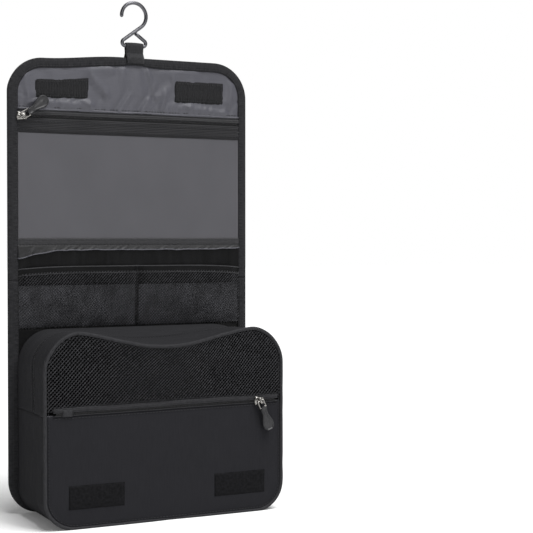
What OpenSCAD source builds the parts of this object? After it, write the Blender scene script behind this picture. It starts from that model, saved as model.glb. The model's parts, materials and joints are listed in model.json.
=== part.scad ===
// Hanging toiletry bag: a zipped case with a long padded panel that folds over it.
// Frame: +X to the bag's right, +Y to its back, +Z up. The origin is the centre of the base,
// with the bag opened out as it hangs from its hook.

/* [Panel] */
// Width of the long panel, over its binding
panel_w = 240; // [234:1:250]
// Height of the panel's top edge above the base
panel_top = 419; // [410:1:421]
// Corner radius at the panel's top
panel_r_top = 34; // [20:1:45]
// Corner radius at the panel's bottom
panel_r_low = 30; // [28:1:45]
// Thickness of the padded panel
panel_t = 4; // [3:0.5:5]
// Width of the binding tape on each face
bind_w = 9.3; // [7:0.1:10]
// Height of the fold between case and spine
fold_low_z = 168.5; // [168:0.5:170]
// Height of the fold between spine and flap
fold_high_z = 253.5; // [253:0.5:255]

/* [Case] */
// Width of the case
case_w = 224; // [216:1:226]
// Height of the case
case_h = 166; // [160:1:166]
// Depth of the case in front of the panel
case_d = 86; // [70:1:86]
// Corner radius at the top of the case
case_r_top = 31; // [25:1:42]
// Corner radius at the bottom of the case
case_r_low = 26; // [15:1:28]
// Thickness of the side cloth with its lining
wall_t = 2; // [1.5:0.5:3]
// Height of the seam where the main zip ends
seam_z = 97; // [90:1:99]
// Height at which the zipped front bends open
lid_z = 112; // [111:1:116]

/* [Front pocket] */
// Height of the front zip at the middle of the case
front_zip_z = 100.7; // [96:0.1:101]
// Slope of the front zip
front_zip_tilt = 0.5; // [0:0.1:2.5]
// Place of the front slider when the pocket is shut
front_slider_x = 88.5; // [70:0.5:90]
// Height of the closing patches on the case
loop_patch_z = 27.5; // [20:0.5:32]
// Distance of the closing patches from the middle
patch_x = 69; // [55:1:72]

/* [Flap] */
// Height of the window zip
window_zip_z = 360; // [355:1:362]
// Top edge of the clear window
window_top = 346.3; // [340:0.1:347]
// Lower edge of the clear window
window_low = 249.6; // [249.5:0.1:252]
// Place of the window slider
window_slider_x = -107.5; // [-108:0.5:-90]
// Height of the closing patches on the flap
hook_patch_z = 389; // [385:1:392]
// Length and height of a closing patch
patch_size = [51, 20.5];

/* [Spine] */
// Top edge of the mesh pocket
pocket_top = 224.5; // [215:1:232]
// Depth of the mesh pocket
pocket_d = 5; // [4.8:0.1:5]
// Place of the seam that divides the mesh pocket
divider_x = 4; // [-20:1:20]
// Height of the elastic binding on the pocket
elastic_h = 7; // [6:0.5:12]

/* [Handle and hook] */
// Length of the handle between its sewn ends
handle_l = 192; // [150:2:196]
// Width of the handle strap
handle_w = 28; // [20:1:32]
// Rise of the handle above its sewn ends
handle_rise = 22; // [18:1:30]
// Place of the hanging loop along the top edge
hanger_x = 3; // [-10:1:10]
// Width of the hanging loop
loop_w = 17; // [14:0.5:18]
// Radius of the hook wire
wire_r = 1.7; // [1.4:0.1:1.8]
// Radius of the hook, to the middle of its wire
hook_r = 12.3; // [10:0.1:13]

/* [Hidden] */
$fn = 48;

// Depths
y_front = -(case_d + panel_t) / 2;
y_in = y_front + case_d;
y_out = y_in + panel_t;

// Panel build-up
cloth_t = 0.8;
lining_t = 0.8;
bind_t = 0.8;
bind_edge = 1.2;
fold_clear = 0.3;
case_panel_top = fold_low_z - fold_clear;
spine_low = fold_low_z + fold_clear;
spine_top = window_low - 0.7;
flap_low = window_low - 0.1;

// Front face build-up
front_cloth_t = 1;
backing_t = 1;
mesh_t = 1;
pipe_out = 1;
pipe_in = 2;
pipe_half = 1.5;
lid_clear = 0.3;
lid_low = lid_z + lid_clear;

// Zips: a coil between two tapes, and a slider that rides on the coil
coil_w = 4.4;
coil_t = 1;
tape_w = 6;
tape_t = 0.6;
slide_clear = 0.3;
zip_y = -2;
main_coil_t = 1.4;
main_tape_t = 0.8;
main_zip_play = 0.3;
main_slider_z = seam_z + 6;
end_tab = [9, 8, 1.2];
end_tab_x = -95.5;
front_tape_l = case_w - 2 * pipe_in - 6;
window_tape_top = window_zip_z + coil_w / 2 + 4.6;

// Slider, ring and tab
slider_t = 2.4;
slider_long = 10;
slider_wide = 7.6;
post_r = 2.2;
post_h = 2.4;
pin_h = 3.7;
pin_r = 0.62;
pin_clear = 0.08;
ring_half = 3;
ring_l = 6.6;
tab_l = 21.5;
tab_w = 10;
tab_t = 2;
tab_neck_w = 4.4;
front_pull_angle = 23.5;
window_pull_angle = 122;
main_pull_angle = 0;

// Patches, label and pocket
hook_patch_t = 1.5;
loop_patch_t = 1;
label_size = [40, 14, 0.6];
label_place = [72, 390];
pocket_sheet_t = 0.6;
pocket_edge_x = panel_w / 2 - bind_w;
elastic_t = 1;

// Handle, with its sewn ends flat on the spine
handle_z = (fold_low_z + fold_high_z) / 2;
handle_t = 2;
anchor_t = 2;
anchor_l = 12;
handle_y = y_out + 7;
handle_arc_r = (handle_l * handle_l / 4 + handle_rise * handle_rise) / (2 * handle_rise);

// Hook: a bar in the loop, two legs that cross, and the open hook above
bar_y = (y_in + y_out) / 2;
bar_z = panel_top + 11;
bar_clear = 0.08;
webbing_t = 1.2;
bend_r = 3;
hook_z = bar_z + 28.3;
bend_x = loop_w / 2 + 0.3;
leg_rise = hook_z - bar_z - bend_r;
leg_span = sqrt(bend_x * bend_x + leg_rise * leg_rise);
leg_angle = atan2(leg_rise, bend_x) - asin((hook_r + bend_r) / leg_span);
tip_angle = 187;
wire_sides = 12;
wire_shrink = 0.98;
// The short leg stops where it meets the long one, above the middle of the loop
short_leg_l = (bend_x + bend_r * sin(leg_angle)) / cos(leg_angle) - 1.45 * wire_r;

// Colours
cloth_colour = [0.16, 0.16, 0.17];
side_colour = [0.18, 0.18, 0.19];
lining_colour = [0.36, 0.36, 0.38];
trim_colour = [0.12, 0.12, 0.13];
film_colour = [0.45, 0.45, 0.47];
mesh_colour = [0.09, 0.1, 0.1];
foam_colour = [0.75, 0.75, 0.72];
metal_colour = [0.78, 0.77, 0.74];
wire_colour = [0.3, 0.3, 0.31];
label_colour = [0.7, 0.7, 0.7];

// ---------- Outlines in the X-Z plane ----------

// Stands an outline up, from y0 to y1
module upright(y0, y1) {
    translate([0, y1, 0]) rotate([90, 0, 0]) linear_extrude(y1 - y0) children();
}

// Keeps the part of an outline between two heights
module band(z0, z1) {
    intersection() {
        children();
        translate([-panel_w, z0]) square([2 * panel_w, z1 - z0]);
    }
}

// Rectangle with round corners, centred across, from z0 to z1
module rounded(w, z0, z1, r_low, r_high) {
    for (side = [-1, 1]) {
        translate([side * (w / 2 - r_low), z0 + r_low]) circle(r_low);
        translate([side * (w / 2 - r_high), z1 - r_high]) circle(r_high);
    }
    translate([-w / 2, z0 + r_low]) square([w, z1 - z0 - r_low - r_high]);
    translate([r_low - w / 2, z0]) square([w - 2 * r_low, z1 - z0 - r_high]);
    translate([r_high - w / 2, z0 + r_low]) square([w - 2 * r_high, z1 - z0 - r_low]);
}

// The long panel's outline, moved in by inset
module panel_shape(inset = 0) {
    rounded(panel_w - 2 * inset, inset, panel_top - inset, panel_r_low - inset, panel_r_top - inset);
}

// The case's outline, moved in by inset, or out if it is negative
module case_shape(inset = 0) {
    rounded(case_w - 2 * inset, inset, case_h - inset, case_r_low - inset, case_r_top - inset);
}

module case_ring(outer, inner) {
    difference() {
        case_shape(outer);
        case_shape(inner);
    }
}

// ---------- The padded panel, in three lengths ----------

// One layer of the panel between two heights
module layer(y0, y1, z0, z1) {
    upright(y0, y1) band(z0, z1) panel_shape(bind_edge);
}

// Folded tape round the panel's edge between two heights
module binding(z0, z1) {
    difference() {
        upright(y_in - bind_t, y_out + bind_t) band(z0, z1) difference() {
            panel_shape();
            panel_shape(bind_w);
        }
        upright(y_in, y_out) band(z0 - 1, z1 + 1) panel_shape(bind_edge);
    }
}

module case_back_cloth() color(cloth_colour) layer(y_out - cloth_t, y_out, 0, case_panel_top);
module case_back_foam() color(foam_colour) layer(y_in + lining_t, y_out - cloth_t, 0, case_panel_top);
module case_back_lining() color(lining_colour) layer(y_in, y_in + lining_t, 0, case_panel_top);
module case_binding() color(trim_colour) binding(0, case_panel_top);

module spine_cloth() color(cloth_colour) layer(y_out - cloth_t, y_out, spine_low, spine_top);
module spine_foam() color(foam_colour) layer(y_in + lining_t, y_out - cloth_t, spine_low, spine_top);
module spine_lining() color(lining_colour) layer(y_in, y_in + lining_t, spine_low, spine_top);
module spine_binding() color(trim_colour) binding(spine_low, spine_top);

module flap_cloth() color(cloth_colour) layer(y_out - cloth_t, y_out, flap_low, panel_top);
module flap_foam() color(foam_colour) layer(y_in + lining_t, y_out - cloth_t, flap_low, panel_top);
module flap_lining() color(lining_colour) layer(y_in, y_in + lining_t, flap_low, panel_top);
module flap_binding() color(trim_colour) binding(flap_low, panel_top);

// ---------- The case ----------

// The sides and base, up to the main zip's ends, and higher in front of the zip
module gusset_lower() color(side_colour) {
    upright(y_front + pipe_half, y_in - bind_t) band(0, seam_z) case_ring(0, wall_t);
    upright(y_front + pipe_half, zip_y - coil_w / 2) band(0, lid_z) case_ring(0, wall_t);
}

module gusset_upper_rear() color(side_colour)
    upright(zip_y + coil_w / 2, y_in - bind_t) band(seam_z, case_h) case_ring(0, wall_t);

module main_zip_tape_rear() color(trim_colour)
    upright(zip_y + coil_w / 2, zip_y + coil_w / 2 + tape_w)
        band(seam_z, case_h) case_ring(wall_t, wall_t + main_tape_t);

module main_zip_coil() color(trim_colour)
    upright(zip_y - coil_w / 2, zip_y + coil_w / 2) band(seam_z, case_h) case_ring(0, main_coil_t);

// Folded cloth tabs that close the main zip's lower ends, one on each side
module main_zip_end_tabs() color(trim_colour)
    for (side = [-1, 1])
        translate([side * case_w / 2, zip_y, seam_z - end_tab.y])
            translate([side > 0 ? 0 : -end_tab.z, -end_tab.x / 2, 0])
                cube([end_tab.z, end_tab.x, end_tab.y]);

module front_pocket_panel() color(cloth_colour)
    upright(y_front, y_front + front_cloth_t) band(0, lid_z) case_shape(pipe_in);

module front_pocket_backing() color(lining_colour)
    upright(y_front + front_cloth_t, y_front + front_cloth_t + backing_t)
        band(0, lid_z) case_shape(pipe_in);

// Places a piece on the front zip's line, with x along the zip and y up its face
module on_front_zip(x, lift) {
    translate([0, y_front, front_zip_z]) rotate([0, -front_zip_tilt, 0])
        translate([x, -lift, 0]) rotate([90, 0, 0]) children();
}

module front_zip_tape() color(trim_colour) on_front_zip(0, 0)
    for (side = [-1, 1])
        translate([-front_tape_l / 2, side > 0 ? coil_w / 2 : -coil_w / 2 - tape_w / 2, 0])
            cube([front_tape_l, tape_w / 2, tape_t]);

module front_zip_coil() color(trim_colour) on_front_zip(0, 0)
    translate([-front_tape_l / 2, -coil_w / 2, 0]) cube([front_tape_l, coil_w, coil_t]);

module front_zip_end_tab() color(trim_colour) on_front_zip(end_tab_x, coil_t)
    translate([-end_tab.x / 2, -end_tab.y / 2, 0]) cube(end_tab);

// Piping round the front edge between two heights, flat where it meets the floor
module piping(z0, z1) {
    upright(y_front - pipe_half, y_front + pipe_half) band(z0, z1) case_ring(-pipe_out, pipe_in);
}

module piping_lower() color(trim_colour) piping(0, lid_z);

module loop_patch(side) {
    upright(y_front - loop_patch_t, y_front)
        translate([side * patch_x, loop_patch_z]) square(patch_size, center = true);
}

module loop_patch_left() color(mesh_colour) loop_patch(-1);
module loop_patch_right() color(mesh_colour) loop_patch(1);

// ---------- The upper front, which opens on the main zip ----------

module mesh_panel() color(mesh_colour)
    upright(y_front, y_front + mesh_t) band(lid_low, case_h) case_shape(pipe_in);

module gusset_upper_front() color(side_colour)
    upright(y_front + pipe_half, zip_y - coil_w / 2 - main_zip_play)
        band(lid_low, case_h) case_ring(0, wall_t);

module main_zip_tape_front() color(trim_colour)
    upright(zip_y - coil_w / 2 - tape_w, zip_y - coil_w / 2 - main_zip_play)
        band(lid_low, case_h) case_ring(wall_t, wall_t + main_tape_t);

module piping_upper() color(trim_colour) piping(lid_low, case_h + pipe_out);

// ---------- The spine's pocket and handle ----------

module fold_tape() color(trim_colour)
    upright(y_in - bind_t, y_in)
        translate([-pocket_edge_x, spine_top - elastic_h]) square([2 * pocket_edge_x, elastic_h]);

// A mesh sheet with closed sides, base and middle seam, open at the top
module pocket_mesh() color(mesh_colour) {
    sheet_top = pocket_top - elastic_h;
    upright(y_in - pocket_d, y_in - pocket_d + pocket_sheet_t)
        translate([-pocket_edge_x, spine_low]) square([2 * pocket_edge_x, sheet_top - spine_low]);
    upright(y_in - pocket_d, y_in) {
        translate([-pocket_edge_x, spine_low]) square([2 * pocket_edge_x, 1]);
        for (x = [-pocket_edge_x, divider_x - 0.5, pocket_edge_x - 1])
            translate([x, spine_low]) square([1, sheet_top - spine_low]);
    }
}

module pocket_elastic() color(trim_colour)
    upright(y_in - pocket_d, y_in - pocket_d + elastic_t)
        translate([-pocket_edge_x, pocket_top - elastic_h]) square([2 * pocket_edge_x, elastic_h]);

module handle_anchors() color(cloth_colour)
    for (side = [-1, 1])
        translate([side * handle_l / 2 - anchor_l / 2, y_out, handle_z - handle_w / 2])
            cube([anchor_l, anchor_t, handle_w]);

// The strap's arch, above its ends
module handle() color(cloth_colour)
    translate([0, handle_y, handle_z - handle_w / 2]) linear_extrude(handle_w) intersection() {
        translate([0, handle_rise - handle_arc_r]) difference() {
            circle(handle_arc_r, $fn = 180);
            circle(handle_arc_r - handle_t, $fn = 180);
        }
        translate([-handle_l / 2, 0]) square([handle_l, handle_rise]);
    }

// ---------- The flap's window and patches ----------

module window_film() color(film_colour)
    upright(y_in - tape_t, y_in)
        translate([-pocket_edge_x, window_low]) square([2 * pocket_edge_x, window_top - window_low]);

module window_zip_tape() color(trim_colour)
    upright(y_in - tape_t, y_in)
        for (span = [[window_top, window_zip_z - coil_w / 2], [window_zip_z + coil_w / 2, window_tape_top]])
            translate([-pocket_edge_x, span[0]]) square([2 * pocket_edge_x, span[1] - span[0]]);

module window_zip_coil() color(trim_colour)
    upright(y_in - coil_t, y_in)
        translate([-pocket_edge_x, window_zip_z - coil_w / 2]) square([2 * pocket_edge_x, coil_w]);

module hook_patch(side) {
    upright(y_in - hook_patch_t, y_in)
        translate([side * patch_x, hook_patch_z]) square(patch_size, center = true);
}

module hook_patch_left() color(trim_colour) hook_patch(-1);
module hook_patch_right() color(trim_colour) hook_patch(1);

module flap_label() color(label_colour)
    upright(y_out, y_out + label_size.z)
        translate(label_place) square([label_size.x, label_size.y], center = true);

// ---------- The hanging loop and hook ----------

module hanging_loop() color(side_colour)
    translate([hanger_x - loop_w / 2, bar_y, bar_z]) rotate([90, 0, 90]) linear_extrude(loop_w)
        difference() {
            union() {
                circle(wire_r + bar_clear + webbing_t);
                translate([-webbing_t, panel_top + 0.5 - bar_z])
                    square([2 * webbing_t, bar_z - panel_top - 0.5]);
            }
            circle(wire_r + bar_clear);
        }

// Points [x, z, direction] along an arc of the wire, from angle a0 to a1 round a centre
function wire_arc(x, z, r, a0, a1, steps) = [
    for (i = [0:steps])
        let (a = a0 + (a1 - a0) * i / steps)
        [x + r * cos(a), z + r * sin(a), a + (a1 > a0 ? 90 : -90)]
];

// The wire from the end of its short leg, round both bends of the eye, and over the hook.
// The bends and the hook turn opposite ways, so the path reaches the hook along a tangent.
wire_path = concat(
    [[
        bend_x - bend_r * cos(90 + leg_angle) - short_leg_l * cos(leg_angle),
        bend_r + bend_r * sin(90 + leg_angle) + short_leg_l * sin(leg_angle),
        -leg_angle
    ]],
    wire_arc(bend_x, bend_r, bend_r, 90 - leg_angle, -90, 8),
    wire_arc(-bend_x, bend_r, bend_r, 270, 90 + leg_angle, 8),
    wire_arc(0, hook_z - bar_z, hook_r, leg_angle - 90, tip_angle, 30)
);

// The straight bar that turns in the loop is a true cylinder, and the bent wire is a swept tube
module hook() color(wire_colour) translate([hanger_x, bar_y, bar_z]) {
    rotate([0, 90, 0]) cylinder(h = loop_w + 0.2, r = wire_r, center = true);
    rings = len(wire_path);
    polyhedron(
        points = [
            for (p = wire_path, k = [0:wire_sides - 1])
                let (a = 360 * k / wire_sides, r = wire_r * wire_shrink)
                [p.x - r * cos(a) * sin(p.z), r * sin(a), p.y + r * cos(a) * cos(p.z)]
        ],
        faces = concat(
            [[for (k = [wire_sides - 1:-1:0]) k]],
            [[for (k = [0:wire_sides - 1]) (rings - 1) * wire_sides + k]],
            [
                for (i = [0:rings - 2], k = [0:wire_sides - 1])
                    let (next = (k + 1) % wire_sides)
                    [
                        i * wire_sides + k, i * wire_sides + next,
                        (i + 1) * wire_sides + next, (i + 1) * wire_sides + k
                    ]
            ]
        )
    );
}

// ---------- Sliders, pull rings and pull tabs ----------
// Each lies on its zip, with x and y along the face and z away from it. The pull points down -y.

module slider(size_x, size_y, pull_angle) {
    difference() {
        union() {
            translate([-size_x / 2, -size_y / 2 + 1.5, 0]) cube([size_x, size_y - 3, slider_t]);
            translate([-size_x / 2 + 1.5, -size_y / 2, 0]) cube([size_x - 3, size_y, slider_t]);
            for (sx = [-1, 1], sy = [-1, 1])
                translate([sx * (size_x / 2 - 1.5), sy * (size_y / 2 - 1.5), 0])
                    cylinder(h = slider_t, r = 1.5, $fn = 32);
            cylinder(h = slider_t + post_h, r = post_r);
        }
        rotate([0, 0, pull_angle]) translate([-5, 0, pin_h]) rotate([0, 90, 0])
            cylinder(h = 10, r = pin_r + pin_clear, $fn = 32);
    }
}

// A round bar between two points that share an x or a y
module bar(from, to, r) {
    length = norm(to - from);
    translate([from.x, from.y, pin_h])
        rotate([from.x == to.x ? 90 : 0, from.x == to.x ? 0 : 90, 0]) cylinder(h = length, r = r, $fn = 32);
}

module pull_ring(pull_angle) rotate([0, 0, pull_angle]) {
    for (y = [0, -ring_l]) bar([-ring_half, y], [ring_half, y], pin_r);
    for (x = [-ring_half, ring_half]) {
        bar([x, 0], [x, -ring_l], pin_r);
        for (y = [0, -ring_l]) translate([x, y, pin_h]) sphere(pin_r, $fn = 32);
    }
}

// A flat tab with a round end, moulded with an eye for the ring
module pull_tab(pull_angle) rotate([0, 0, pull_angle]) difference() {
    translate([0, 0, pin_h - tab_t / 2]) linear_extrude(tab_t) {
        translate([-tab_neck_w / 2, -ring_l - 3]) square([tab_neck_w, 4.5]);
        translate([0, tab_w / 2 - ring_l - tab_l]) circle(tab_w / 2);
        polygon([
            [-tab_w / 2, tab_w / 2 - ring_l - tab_l], [tab_w / 2, tab_w / 2 - ring_l - tab_l],
            [tab_neck_w / 2, -ring_l - 3], [-tab_neck_w / 2, -ring_l - 3]
        ]);
    }
    translate([-tab_w, -ring_l, pin_h]) rotate([0, 90, 0])
        cylinder(h = 2 * tab_w, r = pin_r + pin_clear, $fn = 32);
}

module at_front_slider() on_front_zip(front_slider_x, coil_t + slide_clear) children();

module front_slider() color(metal_colour) at_front_slider()
    slider(slider_long, slider_wide, front_pull_angle);
module front_pull_ring() color(metal_colour) at_front_slider() pull_ring(front_pull_angle);
module front_pull_tab() color(trim_colour) at_front_slider() pull_tab(front_pull_angle);

module at_window_slider()
    translate([window_slider_x, y_in - coil_t - slide_clear, window_zip_z]) rotate([90, 0, 0]) children();

module window_slider() color(metal_colour) at_window_slider()
    slider(slider_long, slider_wide, window_pull_angle);
module window_pull_ring() color(metal_colour) at_window_slider() pull_ring(window_pull_angle);
module window_pull_tab() color(trim_colour) at_window_slider() pull_tab(window_pull_angle);

module at_main_slider()
    translate([case_w / 2 + slide_clear, zip_y, main_slider_z]) rotate([90, 0, 90]) children();

module main_slider() color(metal_colour) at_main_slider()
    slider(slider_wide, slider_long, main_pull_angle);
module main_pull_ring() color(metal_colour) at_main_slider() pull_ring(main_pull_angle);
module main_pull_tab() color(trim_colour) at_main_slider() pull_tab(main_pull_angle);

// ---------- Everything that is drawn ----------

case_back_cloth();
case_back_foam();
case_back_lining();
case_binding();
gusset_lower();
gusset_upper_rear();
main_zip_tape_rear();
main_zip_coil();
main_zip_end_tabs();
front_pocket_panel();
front_pocket_backing();
front_zip_tape();
front_zip_coil();
front_zip_end_tab();
piping_lower();
loop_patch_left();
loop_patch_right();
mesh_panel();
gusset_upper_front();
main_zip_tape_front();
piping_upper();
spine_cloth();
spine_foam();
spine_lining();
spine_binding();
fold_tape();
pocket_mesh();
pocket_elastic();
handle_anchors();
handle();
flap_cloth();
flap_foam();
flap_lining();
flap_binding();
window_film();
window_zip_tape();
window_zip_coil();
hook_patch_left();
hook_patch_right();
flap_label();
hanging_loop();
hook();
front_slider();
front_pull_ring();
front_pull_tab();
window_slider();
window_pull_ring();
window_pull_tab();
main_slider();
main_pull_ring();
main_pull_tab();
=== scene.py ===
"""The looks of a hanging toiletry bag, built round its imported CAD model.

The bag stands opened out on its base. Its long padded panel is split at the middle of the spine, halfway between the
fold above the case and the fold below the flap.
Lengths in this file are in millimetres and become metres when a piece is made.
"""

import json
import math

import bpy
import numpy as np
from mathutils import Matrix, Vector, noise


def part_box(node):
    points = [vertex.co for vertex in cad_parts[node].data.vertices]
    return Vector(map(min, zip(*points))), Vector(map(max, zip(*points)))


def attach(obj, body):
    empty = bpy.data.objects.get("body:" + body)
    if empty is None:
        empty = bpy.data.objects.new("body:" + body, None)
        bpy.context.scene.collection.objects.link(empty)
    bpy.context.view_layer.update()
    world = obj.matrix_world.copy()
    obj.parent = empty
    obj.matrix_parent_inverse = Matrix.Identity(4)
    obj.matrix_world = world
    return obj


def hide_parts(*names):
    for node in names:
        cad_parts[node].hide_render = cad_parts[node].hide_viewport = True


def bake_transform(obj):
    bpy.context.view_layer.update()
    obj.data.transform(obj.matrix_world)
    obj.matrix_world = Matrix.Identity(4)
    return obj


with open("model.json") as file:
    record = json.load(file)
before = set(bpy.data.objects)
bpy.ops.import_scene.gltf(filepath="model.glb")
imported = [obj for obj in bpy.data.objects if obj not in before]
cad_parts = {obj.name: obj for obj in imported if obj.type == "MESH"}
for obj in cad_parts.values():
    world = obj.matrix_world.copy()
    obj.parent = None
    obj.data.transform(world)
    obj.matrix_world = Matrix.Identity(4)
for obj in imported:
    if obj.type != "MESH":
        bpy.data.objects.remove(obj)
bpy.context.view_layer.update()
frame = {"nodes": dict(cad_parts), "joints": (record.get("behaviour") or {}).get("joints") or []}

MM = 0.001


# ---------- Sizes, from the frame ----------

def low(node):
    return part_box(node)[0] / MM


def high(node):
    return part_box(node)[1] / MM


def midway(node, axis):
    return (low(node)[axis] + high(node)[axis]) / 2


def joint_height(name):
    return next(j["pos_m"][2] for j in frame["joints"] if j["name"] == name) / MM


PANEL_HALF = high("flap_binding").x
PANEL_TOP = high("flap_binding").z
PANEL_IN = low("flap_lining").y
PANEL_OUT = high("flap_cloth").y
PANEL_R_TOP = 34
PANEL_R_LOW = 30
BIND_W = 9.3
OPEN_HALF = high("window_film").x

CASE_HALF = high("gusset_lower").x
CASE_TOP = high("gusset_upper_rear").z
CASE_FRONT = low("front_pocket_panel").y
CASE_BACK = high("gusset_lower").y
CASE_R_TOP = 31
CASE_R_LOW = 26
WALL = 1.8
SEAM_Z = low("main_zip_tape_rear").z
ZIP_Y = midway("main_zip_coil", 1)

HOOK_SHUT_Y = PANEL_IN - 2.0  # where the hook's wire ends when its tab is folded over the lining
FRONT_ZIP_TILT = math.radians(0.5)
FRONT_SLIDER_X = 88.5
MAIN_SLIDER_Z = SEAM_Z + 6
FRONT_ZIP_Z = midway("front_zip_coil", 2)
FRONT_ZIP_HALF = high("front_zip_coil").x
WINDOW_ZIP_Z = midway("window_zip_coil", 2)
WINDOW_TAPE_TOP = high("window_zip_tape").z
WINDOW_TOP = high("window_film").z
WINDOW_LOW = low("window_film").z
TAPE_LOW = low("fold_tape").z
POCKET_LOW = low("pocket_mesh").z
POCKET_TOP = high("pocket_elastic").z
ELASTIC_LOW = low("pocket_elastic").z
POCKET_FRONT = low("pocket_mesh").y
DIVIDER_X = 4  # the seam between the net's two pockets
SHADE_SHEET_LOW = 207  # foot of the near-black sheet behind the net's mouth, which is painted shade
HOOK_X = 3  # middle of the webbing loop and its hook

FOLD_LOW = joint_height("fold_lower")
FOLD_HIGH = joint_height("fold_upper")
SPLIT_Z = (FOLD_LOW + FOLD_HIGH) / 2
LID_Z = joint_height("lid_hinge")

LINING_LOW = low("spine_lining").z


# ---------- Geometry: a shape is (points, faces, UVs of the faces' corners) ----------

FRONTWARD, BACKWARD = (0.0, -1.0, 0.0), (0.0, 1.0, 0.0)


def steps(start, end, spacing):
    return np.linspace(start, end, max(2, int(math.ceil(abs(end - start) / spacing)) + 1))


def lengths(points, axis):
    """Distance travelled along one axis of a grid of points, averaged over the other."""
    hops = np.linalg.norm(np.diff(points, axis=axis), axis=-1).mean(axis=1 - axis)
    return np.concatenate([[0], np.cumsum(hops)])


def travelled(path):
    """Distance along a path at each of its points."""
    return np.concatenate([[0], np.cumsum(np.linalg.norm(np.diff(path, axis=0), axis=1))])


def along_path(places, run, values):
    """Rows of values, given at the distances run, read at other places."""
    return np.stack([np.interp(places, run, column) for column in values.T], 1)


def unit(rows):
    return rows / np.linalg.norm(rows, axis=1)[:, None]


def loft(rows, closed=False, loop=False, caps=True):
    """A surface through rows of points. closed joins each row's ends, and loop joins the last row to the first."""
    rows = np.asarray(rows, float)
    n, k, _ = rows.shape
    wrapped = np.concatenate([rows, rows[:, :1]], 1) if closed else rows
    wrapped = np.concatenate([wrapped, wrapped[:1]], 0) if loop else wrapped
    u, v = lengths(wrapped, 0), lengths(wrapped, 1)
    faces, uvs = [], []
    for i in range(len(u) - 1):
        for j in range(len(v) - 1):
            a, b = (i + 1) % n, (j + 1) % k
            faces.append((i * k + j, i * k + b, a * k + b, a * k + j))
            uvs.append(((u[i], v[j]), (u[i], v[j + 1]), (u[i + 1], v[j + 1]), (u[i + 1], v[j])))
    if closed and caps and not loop:
        faces += [tuple(range(k))[::-1], tuple(range((n - 1) * k, n * k))]
        uvs += [tuple((u[0], v[j]) for j in range(k))[::-1], tuple((u[-1], v[j]) for j in range(k))]
    return rows.reshape(-1, 3), faces, uvs


def slab(top, bottom):
    """A closed solid between two grids of the same shape."""
    top, bottom = np.asarray(top, float), np.asarray(bottom, float)
    n, k, _ = top.shape
    points, faces, uvs = loft(top)
    size = n * k
    faces_low = [tuple(size + i for i in f[::-1]) for f in faces]
    rim = [i * k for i in range(n - 1)] + [(n - 1) * k + j for j in range(k - 1)]
    rim += [i * k + k - 1 for i in range(n - 1, 0, -1)] + [j for j in range(k - 1, 0, -1)]
    flat = dict(zip([i for f in faces for i in f], [c for f in uvs for c in f]))
    walls = [(a, b, size + b, size + a) for a, b in zip(rim, rim[1:] + rim[:1])]
    wall_uvs = [tuple(flat[i % size] for i in f) for f in walls]
    both = np.concatenate([points, bottom.reshape(-1, 3)])
    return both, faces + faces_low + walls, uvs + [f[::-1] for f in uvs] + wall_uvs


def full_turn(count):
    return np.linspace(0, 2 * math.pi, count, endpoint=False)


def tube(path, radius, sides, loop=False, flatten=None):
    """A round tube along a path. flatten is a direction and the scale of the tube's height along it."""
    path = np.asarray(path, float)
    ahead = np.roll(path, -1, 0) - np.roll(path, 1, 0)
    if not loop:
        ahead[0], ahead[-1] = path[1] - path[0], path[-1] - path[-2]
    ahead = unit(ahead)
    up, squash = flatten or (FRONTWARD, 1)
    side = unit(np.cross(ahead, up))
    over = np.cross(side, ahead) * squash
    r = np.broadcast_to(radius, len(path))[:, None, None]
    turn = full_turn(sides)[None, :, None]
    rows = path[:, None] + r * (side[:, None] * np.cos(turn) + over[:, None] * np.sin(turn))
    return loft(rows, closed=True, loop=loop)


def capsules(starts, ends, normals, radius, height):
    """Rounded bars with six sides, such as stitches or zip teeth. Height is half a bar's size along its normal."""
    starts, ends = np.asarray(starts, float), np.asarray(ends, float)
    normals = np.broadcast_to(normals, starts.shape)
    ahead = ends - starts
    side = unit(np.cross(ahead, normals))
    turn = full_turn(6)[None, :, None]
    ring = radius * side[:, None] * np.cos(turn) + height * normals[:, None] * np.sin(turn)
    rings = [(starts + ahead * place)[:, None] + size * ring
             for place, size in ((0.0, 0.35), (0.16, 1.0), (0.84, 1.0), (1.0, 0.35))]
    points = np.stack(rings, 1).reshape(-1, 3)
    faces = []
    for base in range(0, len(points), 24):
        faces += [(base + r * 6 + j, base + r * 6 + (j + 1) % 6, base + r * 6 + 6 + (j + 1) % 6, base + r * 6 + 6 + j)
                  for r in range(3) for j in range(6)]
        faces += [tuple(base + j for j in range(5, -1, -1)), tuple(base + 18 + j for j in range(6))]
    uvs = [tuple((0.3 * j, 0.2 * j) for j in range(len(f))) for f in faces]
    return points, faces, uvs


STITCH_R, STITCH_H = 0.28, 0.26


def dashes(path, normals=FRONTWARD, pitch=3.0, length=2.1):
    """A row of stitches along a path."""
    path = np.asarray(path, float)
    run = travelled(path)
    begin = np.arange(pitch / 2, run[-1] - length, pitch)
    facing = along_path(begin, run, np.broadcast_to(normals, path.shape))
    return capsules(along_path(begin, run, path), along_path(begin + length, run, path), facing, STITCH_R, STITCH_H)


def ripple(x, y, z, seed=0.0):
    """Smooth noise from about -1 to 1."""
    x, y, z = np.broadcast_arrays(x, y, z)
    spots = np.stack([x + seed, y, z], -1).reshape(-1, 3)
    return np.array([noise.noise(Vector(p)) for p in spots]).reshape(x.shape)


def ease(t):
    t = np.clip(t, 0, 1)
    return t * t * (3 - 2 * t)


def bump(x, centre, width):
    return np.exp(-((x - centre) / width) ** 2)


# ---------- Materials ----------

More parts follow.
